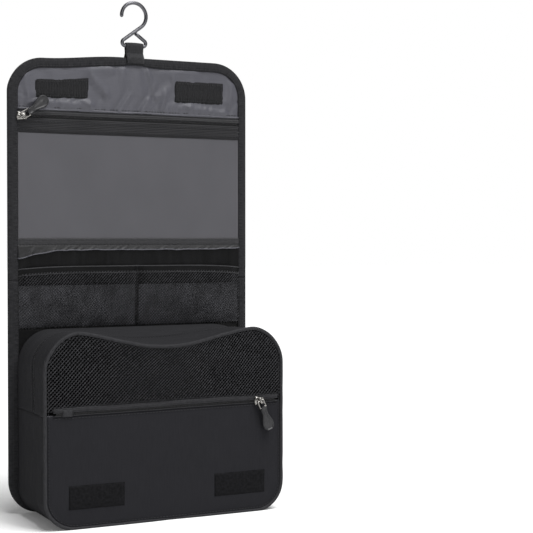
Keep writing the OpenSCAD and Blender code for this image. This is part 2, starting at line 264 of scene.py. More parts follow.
class Finish:
    """A procedural material. Its patterns read the map called cloth, or the object's own coordinates."""

    def __init__(self, name, roughness, specular, own_map=True, **sockets):
        self.material = bpy.data.materials.new(name)
        self.material.use_nodes = True
        self.tree = self.material.node_tree
        self.shader = self.tree.nodes["Principled BSDF"]
        self.shader.inputs["Roughness"].default_value = roughness
        self.shader.inputs["Specular IOR Level"].default_value = specular
        for socket, value in sockets.items():
            self.shader.inputs[socket.replace("_", " ")].default_value = value
        if own_map:
            place = self.node("ShaderNodeUVMap")
            place.uv_map = "cloth"
            self.place = place.outputs["UV"]
        else:
            self.place = self.node("ShaderNodeTexCoord").outputs["Object"]
        self.heights = []

    def node(self, kind, **inputs):
        made = self.tree.nodes.new(kind)
        for name, value in inputs.items():
            self.put(value, made.inputs[name.replace("_", " ")])
        return made

    def put(self, value, socket):
        if isinstance(value, bpy.types.NodeSocket):
            self.tree.links.new(value, socket)
        else:
            socket.default_value = value

    def math(self, operation, a, b=0.0):
        made = self.tree.nodes.new("ShaderNodeMath")
        made.operation = operation
        self.put(a, made.inputs[0])
        self.put(b, made.inputs[1])
        return made.outputs[0]

    def scaled(self, x, y, z=1.0):
        """The place, in pattern units of that many millimetres each way."""
        mapping = self.node("ShaderNodeMapping", Vector=self.place)
        mapping.inputs["Scale"].default_value = (1 / (x * MM), 1 / (y * MM), 1 / (z * MM))
        return mapping.outputs["Vector"]

    def noise(self, x, y, z=1.0, detail=2.0):
        made = self.node("ShaderNodeTexNoise", Vector=self.scaled(x, y, z), Scale=1.0, Detail=detail)
        return made.outputs["Fac"]

    def wave(self, pitch, axis):
        """Ridges a pitch apart along one axis of the map, from -1 to 1."""
        split = self.node("ShaderNodeSeparateXYZ", Vector=self.scaled(pitch, pitch, pitch))
        return self.math("SINE", self.math("MULTIPLY", split.outputs[axis], 2 * math.pi))

    def weave(self, pitch_x, pitch_y, depth):
        self.heights.append((self.math("MULTIPLY", self.wave(pitch_x, 0), self.wave(pitch_y, 1)), depth))
        return self

    def ribs(self, pitch, axis, depth):
        self.heights.append((self.wave(pitch, axis), depth))
        return self

    def rough(self, size, depth, detail=3.0):
        self.heights.append((self.noise(size, size, size, detail), depth))
        return self

    def colour(self, dark, light, mask):
        """Colour between two shades, as the mask goes from 0 to 1."""
        ramp = self.node("ShaderNodeValToRGB", Fac=mask)
        ramp.color_ramp.elements[0].position = 0.3
        ramp.color_ramp.elements[0].color = (*dark, 1)
        ramp.color_ramp.elements[1].position = 0.7
        ramp.color_ramp.elements[1].color = (*light, 1)
        self.put(ramp.outputs["Color"], self.shader.inputs["Base Color"])
        return self

    def done(self):
        normal = None
        for height, depth in self.heights:
            layer = self.node("ShaderNodeBump", Strength=1.0, Distance=depth * MM, Height=height)
            if normal:
                self.put(normal, layer.inputs["Normal"])
            normal = layer.outputs["Normal"]
        if normal:
            self.put(normal, self.shader.inputs["Normal"])
        return self.material


COOL = (1.0, 1.0, 1.08)


def shade(level, tint=COOL):
    return tuple(level * c for c in tint)


def finish(name, dark, light, grain, *relief, tint=COOL, **sockets):
    """A material between two shades, in a grain of some size, with layers of relief over each other."""
    made = Finish(name, **sockets)
    layers = {"weave": made.weave, "ribs": made.ribs, "rough": made.rough}
    for kind, *sizes in relief:
        layers[kind](*sizes)
    return made.colour(shade(dark, tint), shade(light, tint), made.noise(*grain)).done()


def fabric(name, level, streak, spread, pitch=(0.7, 0.7), depth=0.05, blue=1.08, **sockets):
    """Plain woven cloth with streaks along its threads: heathering, and on the lining behind the net, painted light
    and shade.
    """
    return finish(name, level * (1 - spread), level * (1 + spread), (*streak, 1.0, 4), ("weave", *pitch, depth),
                  ("rough", 9, 0.12, 2), tint=(1.0, 1.0, blue), **sockets)


def make_materials():
    canvas = {"roughness": 0.85, "Sheen_Weight": 0.02, "Sheen_Roughness": 0.5}
    satin = {"pitch": (0.45, 0.9), "depth": 0.02}
    clear, silver = (1.0, 0.985, 1.09), (1.0, 0.97, 0.92)
    return {
        "outer": fabric("outer_cloth", 0.0215, (9, 2.2), 0.1, specular=0.08, **canvas),
        "side": fabric("side_cloth", 0.024, (22, 3), 0.1, specular=0.03, roughness=0.9),
        "pocket": fabric("pocket_cloth", 0.0175, (14, 1.2), 0.08, blue=1.15, specular=0.06, **canvas),
        "lining": fabric("lining", 0.069, (0.5, 30), 0.08, blue=1.2, specular=0.42, roughness=0.42,
                         Sheen_Weight=0.15, Sheen_Roughness=0.35, **satin),
        # the lining behind the net: its wide light and dark mottling is painted light and shade standing in for the
        # lining's lumps
        "inside": fabric("pocket_back_painted_shading", 0.09, (26, 15), 0.62, blue=1.12, specular=0.4, roughness=0.42, **satin),
        # the lining's cloth, about five times darker: painted shade on the hem that hangs over the pocket's mouth
        "hem": fabric("shaded_lining_hem", 0.014, (9, 0.6), 0.6, specular=0.35, roughness=0.42, **satin),
        # near-black: dark cloth on the pocket's elastic and middle seam, and painted shade on the case's back lining
        # and on the sheet behind the pocket's mouth
        "facing": fabric("dark_cloth_and_painted_shade", 0.004, (50, 7), 0.6, specular=0.12, roughness=0.5, **satin),
        "binding": finish("binding_tape", 0.015, 0.032, (0.9, 6), ("ribs", 1.1, 0, 0.09), ("ribs", 2.4, 1, 0.05),
                          ("rough", 6, 0.1), roughness=0.75, specular=0.07),
        "trim": finish("trim_tape", 0.021, 0.036, (4, 0.8), ("ribs", 0.9, 0, 0.06), ("rough", 5, 0.1),
                       roughness=0.55, specular=0.25, Sheen_Weight=0.08),
        "piping": finish("piping_tape", 0.022, 0.038, (4, 0.8), ("ribs", 0.9, 0, 0.06), ("rough", 5, 0.1),
                         roughness=0.7, specular=0.08),
        "tape": finish("zip_tape", 0.014, 0.03, (40, 0.8), ("ribs", 1.5, 1, 0.2), ("weave", 0.8, 0.5, 0.05),
                       roughness=0.7, specular=0.15, Sheen_Weight=0.03),
        "coil": finish("zip_coil", 0.008, 0.016, (3, 3), ("rough", 0.8, 0.03), roughness=0.38, specular=0.3),
        "net": finish("net_thread", 0.013, 0.056, (1.6, 1.6, 1.6), ("rough", 0.5, 0.05), own_map=False,
                      roughness=0.6, specular=0.06),
        "film": finish("window_film", 0.09, 0.1, (60, 40), ("rough", 40, 0.35, 1), ("rough", 0.7, 0.012),
                       tint=clear, roughness=0.3, specular=0.35, Alpha=0.86),
        "hooks": finish("hook_tape", 0.01, 0.026, (2.5, 0.8, 1, 4), ("weave", 1.3, 1.3, 0.25),
                        ("ribs", 2.6, 1, 0.15), roughness=0.6, specular=0.12),
        "loops": finish("loop_tape", 0.007, 0.014, (2.4, 2.4, 1, 4), ("rough", 0.9, 0.5, 5), ("rough", 5, 0.4),
                        roughness=0.95, specular=0.02),
        "label": finish("woven_label", 0.5, 0.62, (0.6, 3), ("weave", 0.5, 0.5, 0.05), tint=(1, 1, 0.99),
                        roughness=0.7, specular=0.2),
        "webbing": finish("webbing", 0.016, 0.04, (3, 0.8), ("ribs", 1.0, 1, 0.14), ("weave", 2.2, 1.4, 0.12),
                          roughness=0.65, specular=0.15, Sheen_Weight=0.05),
        "steel": finish("hook_steel", 0.1, 0.14, (4, 2), ("rough", 1.5, 0.006), roughness=0.33, specular=0.5,
                        Metallic=1.0),
        "nickel": finish("nickel", 0.22, 0.32, (3, 3, 3), ("rough", 1.0, 0.015), tint=silver, own_map=False,
                         roughness=0.24, specular=0.5, Metallic=1.0),
        "rubber": finish("pull_rubber", 0.02, 0.028, (2, 2), ("rough", 0.5, 0.04), roughness=0.42, specular=0.4),
        "foam": finish("foam", 0.45, 0.55, (2, 2), ("rough", 0.8, 0.2), roughness=0.95, specular=0.05),
        "thread": finish("thread", 0.02, 0.035, (0.8, 0.8, 0.8), ("rough", 0.3, 0.03), own_map=False,
                         roughness=0.6, specular=0.15),
        "floor": finish("studio_floor", 0.86, 0.9, (900, 900, 900), tint=(1, 1, 1), own_map=False,
                        roughness=0.9, specular=0.1, Emission_Strength=0.08),
    }


MATERIALS = make_materials()


# ---------- Making a piece ----------

STIFF_SLOTS = ("hook_steel", "webbing", "slider_metal", "pull_rubber")  # what doesn't droop with the cloth


def droop(points):
    """The flap hangs from its middle, so its left corner drops a little."""
    x, y, z = points.T
    beside, above = ease((-x - 12) / 75), ease((z - WINDOW_TAPE_TOP - 1) / 34)
    return points - stack(0, 0, 5.0 * beside * above * (y > PANEL_IN - 8))


def add_object(name, points, faces, uvs, material):
    mesh = bpy.data.meshes.new(name)
    mesh.from_pydata((points * MM).tolist(), [], faces)
    layer = mesh.uv_layers.new(name="cloth")
    layer.data.foreach_set("uv", (np.array([corner for face in uvs for corner in face]) * MM).ravel())
    mesh.polygons.foreach_set("use_smooth", [True] * len(mesh.polygons))
    mesh.materials.append(MATERIALS[material])
    mesh.update()
    made = bpy.data.objects.new(name, mesh)
    bpy.context.scene.collection.objects.link(made)
    return made


def piece(name, parts, material, slot, replaces=()):
    """One object from one or more shapes, in the frame."""
    parts = [parts] if isinstance(parts, tuple) else parts
    points, faces, uvs, base = [], [], [], 0
    for part_points, part_faces, part_uvs in parts:
        points.append(np.asarray(part_points, float))
        faces += [tuple(base + i for i in f) for f in part_faces]
        uvs += part_uvs
        base += len(part_points)
    points = np.concatenate(points)
    made = add_object(name, points if slot in STIFF_SLOTS else droop(points), faces, uvs, material)
    if replaces:
        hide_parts(*replaces)
    return made


def thicken(made, thickness):
    layer = made.modifiers.new("thickness", "SOLIDIFY")
    layer.thickness = thickness * MM
    layer.offset = 0
    return made


def bend(made):
    """Bakes the piece's place in the frame into its mesh."""
    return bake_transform(made)


def low_bend(made):
    return bend(made)


def high_bend(made):
    return bend(made)


def lid_bend(made):
    return bend(made)


CLOTH_STEPS = 30


def relax(made, held, swell, push, cap):
    """Cloth simulation of a sheet held where held is 1, cut larger than its frame, so that it puckers."""
    rest = np.array([v.co for v in made.data.vertices])
    group = made.vertex_groups.new(name="held")
    for index in np.flatnonzero(held > 0):
        group.add([int(index)], float(held[index]), "REPLACE")
    cloth = made.modifiers.new("cloth", "CLOTH")
    settings = cloth.settings
    settings.quality = 6
    settings.mass = 0.05
    settings.tension_stiffness = settings.compression_stiffness = 12
    settings.shear_stiffness = 4
    settings.bending_stiffness = 0.05
    settings.vertex_group_mass = "held"
    settings.shrink_min = -swell
    settings.use_pressure = True
    settings.uniform_pressure_force = push
    settings.effector_weights.gravity = 0
    cloth.point_cache.frame_start = 1
    cloth.point_cache.frame_end = CLOTH_STEPS
    for step in range(1, CLOTH_STEPS + 1):
        bpy.context.scene.frame_set(step)
    view = bpy.context.evaluated_depsgraph_get()
    moved = np.array([v.co for v in made.evaluated_get(view).data.vertices])
    shift = moved - rest
    far = np.linalg.norm(shift, axis=1)
    shift *= np.minimum(1, cap * MM / np.maximum(far, 1e-9))[:, None]
    made.modifiers.remove(cloth)
    made.data.vertices.foreach_set("co", (rest + shift).ravel())
    made.data.update()
    bpy.context.scene.frame_set(1)


# ---------- Outlines ----------

def half_turn(half, z_end, z_turn, r, spacing=3.0):
    """An outline's points and outward normals: from (-half, z_end) to z_turn, round two corners, and back."""
    way = 1 if z_turn > z_end else -1
    side = steps(z_end, z_turn - way * r, spacing)[:-1]
    turn = steps(0, math.pi / 2, spacing / r)
    flat = steps(-half + r, 0, spacing)[1:]
    points = [(-half, z) for z in side]
    points += [(-half + r - r * math.cos(a), z_turn - way * r + way * r * math.sin(a)) for a in turn]
    points += [(x, z_turn) for x in flat]
    normals = [(-1, 0)] * len(side) + [(-math.cos(a), way * math.sin(a)) for a in turn] + [(0, way)] * len(flat)
    points, normals = np.array(points, float), np.array(normals, float)
    flip = np.array([-1, 1])
    return (np.concatenate([points, points[-2::-1] * flip]), np.concatenate([normals, normals[-2::-1] * flip]))


def spread(z, half, z0, z1, r_low, r_high):
    """Half the width of a rounded rectangle at each height."""
    into_low = np.clip(z0 + r_low - z, 0, r_low)
    into_high = np.clip(z - z1 + r_high, 0, r_high)
    return half - r_low + np.sqrt(r_low ** 2 - into_low ** 2) - r_high + np.sqrt(r_high ** 2 - into_high ** 2)


def heights(z0, z1, r_low=0, r_high=0, spacing=3.5):
    """Heights from z0 to z1, closer together round the corners."""
    turn = np.linspace(0, math.pi / 2, 10)[:-1]
    rows = [z0 + r_low * (1 - np.cos(turn))] if r_low else []
    rows.append(steps(z0 + r_low, z1 - r_high, spacing))
    if r_high:
        rows.append((z1 - r_high * (1 - np.cos(turn)))[::-1])
    return np.concatenate(rows)


def fill(z, half, columns):
    """X and Z of a grid with rows at the heights z, each from -half to half."""
    return np.linspace(-1, 1, columns)[None, :] * half[:, None], np.repeat(z[:, None], columns, 1)


def panel_grid(z0, z1, inset, columns=70):
    """X and Z of a grid that fills the panel between two heights, inset from its edge."""
    r_low, r_high = PANEL_R_LOW - inset, PANEL_R_TOP - inset
    at_foot, at_top = z0 <= inset, z1 >= PANEL_TOP - inset
    z = heights(max(z0, inset), min(z1, PANEL_TOP - inset), r_low if at_foot else 0, r_high if at_top else 0)
    return fill(z, spread(z, PANEL_HALF - inset, inset, PANEL_TOP - inset, r_low, r_high), columns)


def stack(x, y, z):
    return np.stack(np.broadcast_arrays(x, y, z), -1)


# ---------- The padded panel ----------

def back_y(x, z):
    """The outer cloth, puffed out by the foam and drawn in along both folds."""
    side = 1 - np.abs(x / PANEL_HALF) ** 4
    ends = ease((z - 6) / 26) * ease((PANEL_TOP - 6 - z) / 26)
    folds = 1 - 0.6 * bump(z, FOLD_LOW, 6) - 0.6 * bump(z, FOLD_HIGH, 6)
    waves = 0.9 * ripple(x / 42, z / 70, 0, 3.1) + 0.35 * ripple(x / 11, z / 55, 0, 8.7)
    return PANEL_OUT + side * ends * (1.5 * folds + waves)


def lining_y(x, z):
    """The lining, with slack diagonal folds on the spine and smooth behind the window."""
    loose = 0.2 + 0.8 * bump(z, 190, 28)
    waves = 1.1 * ripple((x + z) / 22, (x - z) / 34, 0, 5.3) + 0.6 * ripple((x - z) / 13, z / 26, 0, 1.9)
    edge = ease((OPEN_HALF - np.abs(x)) / 6)
    return PANEL_IN - 0.1 - edge * loose * np.clip(waves + 0.3, -0.1, 1.3) * 1.6


def panel_sheet(name, z0, z1, y_of, lift, thickness, material, slot, replaces):
    x, z = panel_grid(z0, z1, 3)
    return thicken(piece(name, loft(stack(x, y_of(x, z) + lift, z)), material, slot, replaces), thickness)


def foam_pad(name, z0, z1, replaces):
    """A foam sheet, thinner along its edges."""
    x, z = panel_grid(z0, z1, 6, 40)
    edge = np.minimum(1, (PANEL_HALF - 5.5 - np.abs(x)) / 6)
    edge = np.minimum(edge, np.minimum(np.maximum(z - 5.5, 0), np.maximum(PANEL_TOP - 5.5 - z, 0)) / 6)
    half = 0.3 + 0.85 * np.sqrt(np.clip(edge, 0, 1))
    middle = (PANEL_IN + PANEL_OUT) / 2
    made = piece(name, slab(stack(x, middle - half, z), stack(x, middle + half, z)), "foam", "foam", replaces)
    return made


def edge_ring(point, normal, along, inner):
    """The folded tape's section at one place on the edge: a flat front, a round edge and a flat back."""
    front, back = PANEL_IN - 0.45, PANEL_OUT + 0.45
    turn = np.linspace(-math.pi / 2, math.pi / 2, 7)
    middle, half = (front + back) / 2, (back - front) / 2
    puff = 0.22 * math.sin(along / 7.0) + 0.16 * math.sin(along / 2.9 + 1)
    outer = [(-inner, front), (-inner + 0.15, front - 0.75), (-inner * 0.8, front - 1.05),
             (-inner * 0.5, front - 1.1 - puff * 0.5), (-2.6, front - 0.6)]
    outer += [(-1.8 + 1.8 * math.cos(a), middle + (half + 0.25) * math.sin(a)) for a in turn]
    outer += [(-2.6, back + 0.5), (-inner * 0.5, back + 0.8 + puff * 0.5), (-inner * 0.8, back + 0.8),
              (-inner + 0.15, back + 0.55), (-inner, back)]
    inside = [(-inner, back - 0.5), (-3.2, back - 0.5), (-1.6, middle + half * 0.5), (-1.6, middle - half * 0.5),
              (-3.2, front + 0.5), (-inner, front + 0.5)]
    return [(point[0] + normal[0] * n, y, point[1] + normal[1] * n) for n, y in outer + inside]


def binding(name, z_turn, r, replaces):
    points, normals = half_turn(PANEL_HALF, SPLIT_Z, z_turn, r, 2.5)
    along = travelled(points)
    tucked = 2.2 * bump(points[:, 0], HOOK_X, 14) * (points[:, 1] > PANEL_TOP - 1)
    rows = [edge_ring(p, n, s, BIND_W - t) for p, n, s, t in zip(points, normals, along, tucked)]
    made = piece(name, loft(rows, closed=True), "binding", "binding_tape", replaces)
    seams = []
    for face, y in ((-1, PANEL_IN - 1.45), (1, PANEL_OUT + 1.25)):
        line = points - normals * (BIND_W - 1.7 - tucked)[:, None]
        seams.append(dashes(stack(line[:, 0], y, line[:, 1]), (0, face, 0)))
    return made, piece(name + "_stitches", seams, "thread", "binding_tape")


def build_panel():
    cloth = (back_y, -0.4, 0.7, "outer", "outer_cloth")
    lining = (lining_y, 0.4, 0.5)
    low_bend(panel_sheet("panel_cloth_lower", 0, SPLIT_Z, *cloth, ("case_back_cloth", "spine_cloth")))
    high_bend(panel_sheet("panel_cloth_upper", SPLIT_Z, PANEL_TOP, *cloth, ("flap_cloth",)))
    # the case's back lining takes the near-black cloth instead of the lining's own colour: painted shade for the
    # inside of the case
    low_bend(panel_sheet("case_back_inside", 0, LINING_LOW, *lining, "facing", "lining", ("case_back_lining",)))
    # the spine's lining behind the net, with painted light and shade of its lumps
    low_bend(panel_sheet("spine_inside", LINING_LOW, SPLIT_Z, *lining, "inside", "lining", ("spine_lining",)))
    high_bend(panel_sheet("panel_lining_upper", SPLIT_Z, WINDOW_ZIP_Z, *lining, "lining", "lining", ()))
    low_bend(foam_pad("foam_lower", 0, SPLIT_Z, ("case_back_foam", "spine_foam")))
    high_bend(foam_pad("foam_upper", SPLIT_Z, PANEL_TOP, ("flap_foam",)))
    for made in binding("binding_lower", 0, PANEL_R_LOW, ("case_binding", "spine_binding")):
        low_bend(made)
    for made in binding("binding_upper", PANEL_TOP, PANEL_R_TOP, ("flap_binding",)):
        high_bend(made)


# ---------- The flap's front ----------

def node_box(node):
    return low(node), high(node)


def from_sides(x, z, x0, x1, z0, z1):
    """How far inside a rectangle a place is, or how far outside it if negative."""
    return np.minimum(np.minimum(x - x0, x1 - x), np.minimum(z - z0, z1 - z))


def patch_grid(a, b, columns, rows):
    """X and Z over a rectangle from a to b, and how far inside its edge each place is."""
    x, z = np.meshgrid(np.linspace(a.x, b.x, columns), np.linspace(a.z, b.z, rows))
    return x, z, from_sides(x, z, a.x, b.x, a.z, b.z)


def box_of_stitches(a, b, inset, count, y_of, normal, pitch, length):
    """Stitches round a rectangle from a to b, inset from its edge."""
    corners = [(a.x + inset, a.z + inset), (b.x - inset, a.z + inset), (b.x - inset, b.z - inset),
               (a.x + inset, b.z - inset)]
    seams = []
    for (x0, z0), (x1, z1) in zip(corners, corners[1:] + corners[:1]):
        x, z = np.linspace(x0, x1, count), np.linspace(z0, z1, count)
        seams.append(dashes(stack(x, y_of(x, z), z), normal, pitch, length))
    return seams


def crease(x, z, x0, z0, x1, z1, wide):
    """A ridge of height 1 along a line, fading away from it and at its ends."""
    dx, dz = x1 - x0, z1 - z0
    span = math.hypot(dx, dz)
    along = ((x - x0) * dx + (z - z0) * dz) / span
    away = ((x - x0) * dz - (z - z0) * dx) / span
    return np.exp(-(away / wide) ** 2) * ease(along / 6 + 1) * ease((span - along) / 6 + 1)


LINING_INSET = 7  # how far the lining's edge lies inside the panel's, under the binding
TALLEST_FOLD = 4.2


def build_flap_lining():
    """Satin lining above the window zip, puckered by the seams that hold it."""
    half, top, r = PANEL_HALF - LINING_INSET, PANEL_TOP - LINING_INSET, PANEL_R_TOP - LINING_INSET
    z = heights(WINDOW_TAPE_TOP - 0.6, top, 0, r, 1.7)
    half = spread(z, half, 0, top, 1, r)
    x, z = fill(z, half, 136)
    from_edge = np.minimum(half[:, None] - np.abs(x), top - z)
    up = z - WINDOW_TAPE_TOP
    # start x and z, end x and z, width and height of each fold
    folds = ((1, 390, -13, 369, 2.2, 1.9), (23, 391, 10, 371, 2.2, 1.9), (-41, 399, -27, 383, 3.2, 2.6),
             (42, 398, 24, 384, 3.2, 2.6), (-8, 412, -11, 396, 1.8, 1.5), (15, 411, 19, 397, 1.8, 1.5),
             (-100, 374, -40, 372, 3.4, 1.3), (52, 374, 96, 371, 3.4, 1.2), (5, 402, 7, 386, 3.5, 1.2),
             (-58, 410, -20, 407, 2.4, 1.6), (30, 407, 66, 409, 2.4, 1.6), (-104, 402, -101, 380, 2.6, 1.8),
             (104, 398, 101, 380, 2.6, 1.8), (34, 386, 30, 374, 2.4, 2.2), (48, 384, 58, 376, 2.6, 1.8),
             (-56, 384, -44, 375, 2.6, 1.8))
    lift = 0.7 + 0.4 * ripple(x / 13, z / 17, 0, 2.2)
    for x0, z0, x1, z1, wide, tall in folds:
        lift = lift + tall * crease(x, z, x0, z0, x1, z1, wide)
    for x0, z0, x1, z1, wide, tall in folds[:4]:  # these have a groove along their left side
        lift = lift - 1.1 * tall * crease(x, z, x0 - 4.4, z0 - 1, x1 - 4.4, z1 - 1, wide)
    pucker = 0.6 * ripple(x / 4.6, up / 30, 0, 3.7) * ease(up / 2.5) * ease(1.5 - up / 9)
    lift = (lift + pucker) * ease(from_edge / 7)
    under_hook = bump(x, HOOK_X, 22) ** 0.25 * (np.abs(x - HOOK_X) < 26)
    lift = np.minimum(lift, TALLEST_FOLD - 2.6 * under_hook)
    inside = [from_sides(x, z, a.x, b.x, a.z, b.z)
              for a, b in (node_box("hook_patch_left"), node_box("hook_patch_right"))]
    for patch in inside:
        lift = np.minimum(lift, 0.8 + 0.45 * np.maximum(-patch, 0))
    rows = stack(x, PANEL_IN + 0.15 - np.clip(lift, -0.1, TALLEST_FOLD) - 0.5 * ease(from_edge / 3), z)
    made = piece("flap_top_lining", loft(rows), "lining", "lining", ("flap_lining",))
    fixed = np.zeros(x.shape)
    fixed[0] = fixed[-1] = 1
    fixed[:, 0] = fixed[:, -1] = 1
    for patch in inside:
        fixed[patch > 1] = 1
    relax(made, fixed.ravel(), swell=0.02, push=0.3, cap=0.4)
    for vertex in made.data.vertices:
        if abs(vertex.co.x / MM - HOOK_X) < 19:
            vertex.co.y = max(vertex.co.y, HOOK_SHUT_Y * MM)
    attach(made, "flap")
    run = steps(-OPEN_HALF - 0.5, OPEN_HALF + 0.5, 3)
    hem = tube(stack(run, PANEL_IN - 0.9, WINDOW_TAPE_TOP + 0.4 + 0.25 * np.sin(run / 9)), 0.8, 8)
    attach(piece("flap_lining_hem", hem, "lining", "lining"), "flap")
    line = stack(run, PANEL_IN - 1.3, WINDOW_TAPE_TOP + 2.2)
    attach(piece("flap_lining_stitches", dashes(line), "thread", "lining"), "flap")


def fastener_patch(name, node, body, face_y, material, slot, rise, sewn=True):
    """A sewn patch with rolled edges and, on the stiff hook side, a row of stitches inside them."""
    a, b = node_box(node)
    x, z, edge = patch_grid(a, b, 34, 16)
    groove = 0.35 * bump(edge, 2.4, 0.7) if sewn else 0.25 * ripple(x / 4, z / 4, 0, 1.2)
    face = face_y(x, z)
    top = face - rise * (0.35 + 0.65 * np.sqrt(np.clip(edge / 1.6, 0, 1))) + groove
    body_part = slab(stack(x, top, z), stack(x, face + 0.3, z))
    made = piece(name, body_part, material, slot, (node,))
    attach(made, body)
    if not sewn:
        return
    seams = box_of_stitches(a, b, 2.4, 24, lambda x, z: face_y(x, z) - rise + 0.15, FRONTWARD, 2.4, 1.7)
    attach(piece(name + "_stitches", seams, "thread", slot), body)


def zip_teeth(origins, across, normal, side):
    """One side of a closed zip: rounded teeth that reach past its middle."""
    starts = origins + across * (2.1 * side)
    ends = origins - across * (0.55 * side)
    return capsules(starts, ends, normal, 0.42, 0.48)


TOOTH_PITCH = 1.35


def straight_zip(name, centre, along, half_length, body, node):
    """Both rows of teeth of a straight zip in the bag's front."""
    along = np.array(along, float)
    across = np.cross(along, FRONTWARD)
    rows = []
    for side, shift in ((1, 0.0), (-1, TOOTH_PITCH / 2)):
        places = np.arange(-half_length + 1 + shift, half_length - 1, TOOTH_PITCH)
        origins = np.array(centre)[None] + along[None] * places[:, None]
        rows.append(zip_teeth(origins, across, FRONTWARD, side))
    made = piece(name, rows, "coil", "zip_coil", (node,))
    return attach(made, body)


def tuck(x):
    """1 on the panel's face, down to 0 under the binding at its sides."""
    return ease((OPEN_HALF + 1.4 - np.abs(x)) / 2.2)


def ribbon(x0, x1, z0, z1, y, crown=0.25):
    """A flat tape, a little crowned across, as rows along x."""
    x, t = steps(x0, x1, 2.0)[:, None], np.linspace(0, 1, 9)[None, :]
    z = z0 + (z1 - z0) * t + 0 * x
    return loft(stack(x, PANEL_IN - 0.35 + (y - crown * np.sin(math.pi * t) - PANEL_IN + 0.35) * tuck(x), z))


def build_window():
    x, z = np.meshgrid(steps(-OPEN_HALF - 2, OPEN_HALF + 2, 2.5), steps(WINDOW_LOW - 2, WINDOW_TOP + 2, 3.5))
    y = PANEL_IN - 0.35 - tuck(x) * (0.6 + 0.3 * ripple(x / 60, z / 40, 0, 4.4))
    film = thicken(piece("clear_window", loft(stack(x, y, z)), "film", "window_film", ("window_film",)), 0.3)
    high_bend(film)
    wide = OPEN_HALF + 2
    tapes = [ribbon(-wide, wide, WINDOW_TOP - 1.0, WINDOW_ZIP_Z - 1.0, PANEL_IN - 1.25),
             ribbon(-wide, wide, WINDOW_ZIP_Z + 1.0, WINDOW_TAPE_TOP + 0.4, PANEL_IN - 0.7)]
    tape = thicken(piece("window_tape", tapes, "tape", "zip_tape", ("window_zip_tape",)), 0.35)
    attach(tape, "flap")
    straight_zip("window_teeth", (0, PANEL_IN - 0.55, WINDOW_ZIP_Z), (1, 0, 0), OPEN_HALF, "flap", "window_zip_coil")
    run = steps(-OPEN_HALF - 0.8, OPEN_HALF + 0.8, 3)
    lips = [tube(stack(run, PANEL_IN - 0.75, WINDOW_ZIP_Z + 3.9 + 0.25 * np.sin(run / 17)), 1.1, 8,
                 flatten=(FRONTWARD, 0.6)),
            tube(stack(run, PANEL_IN - 0.9, WINDOW_ZIP_Z + 2.5 + 0.15 * np.sin(run / 23)), 0.55, 8),
            tube(stack(run, PANEL_IN - 0.8, WINDOW_ZIP_Z - 2.6), 1.0, 8, flatten=(FRONTWARD, 0.5)),
            tube(stack(run, PANEL_IN - 1.25, WINDOW_ZIP_Z - 7.2), 0.4, 6),
            tube(stack(run, PANEL_IN - 1.2, WINDOW_ZIP_Z - 10.6), 0.4, 6)]
    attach(piece("window_zip_lips", lips, "trim", "zip_tape"), "flap")
    seams = [dashes(stack(run, PANEL_IN - 1.62, height))
             for height in (WINDOW_TOP + 1.6, WINDOW_ZIP_Z - 4.6)]
    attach(piece("window_stitches", seams, "thread", "zip_tape"), "flap")


# ---------- The spine's pocket ----------

def pocket_y(x, z):
    """The net pocket, held back at its sides, foot and middle seam."""
    sides = ease((OPEN_HALF + 1 - np.abs(x)) / 11)
    seam = 1 - 0.85 * bump(x, DIVIDER_X, 4)
    foot = ease((z - POCKET_LOW + 1) / 12)
    waves = 0.7 * ripple(x / 24, z / 15, 0, 6.6) + 0.4 * ripple((x + z) / 10, z / 14, 0, 9.1)
    full = 0.45 + 0.55 * ease((z - POCKET_LOW) / 46)
    reach = (PANEL_IN - 1.0 - POCKET_FRONT) * sides * seam * foot * full
    return PANEL_IN - 1.0 - reach - waves * sides * foot * seam


def lifted(x, z):
    """The pocket's mouth curves down towards both sides."""
    return z - 2.4 * ease((z - POCKET_LOW) / 50) * np.abs(x / OPEN_HALF) ** 5


def net(name, pitch, x_range, z_range, keep, surface, slot, replaces):
    """Two crossing sets of threads a pitch apart, wherever keep is true. The rising set is the thicker one."""
    strands = []
    reach = z_range[1] - z_range[0]
    for way, wide, thick, lift in ((1, 0.42, 0.3, 0.16), (-1, 0.23, 0.2, -0.16)):
        lean = reach / math.tan(math.radians(47)) * way
        s = np.arange(0, 1, 1.4 / reach)
        for start in np.arange(x_range[0] - max(lean, 0), x_range[1] - min(lean, 0), pitch):
            x, z = start + lean * s, z_range[0] + reach * s
            kept = keep(x, z)
            edges = np.flatnonzero(np.diff(np.concatenate([[0], kept.astype(int), [0]])))
            for first, last in zip(edges[::2], edges[1::2]):
                if last - first > 2:
                    middle = surface(x[first:last], z[first:last])
                    rows = np.repeat(middle[:, None], 4, 1)
                    rows[:, :, 0] += np.array([-wide, wide, wide, -wide])
                    rows[:, :, 1] += np.array([-thick, -thick, thick, thick]) - lift
                    strands.append(loft(rows, closed=True))
    return piece(name, strands, "net", slot, replaces)


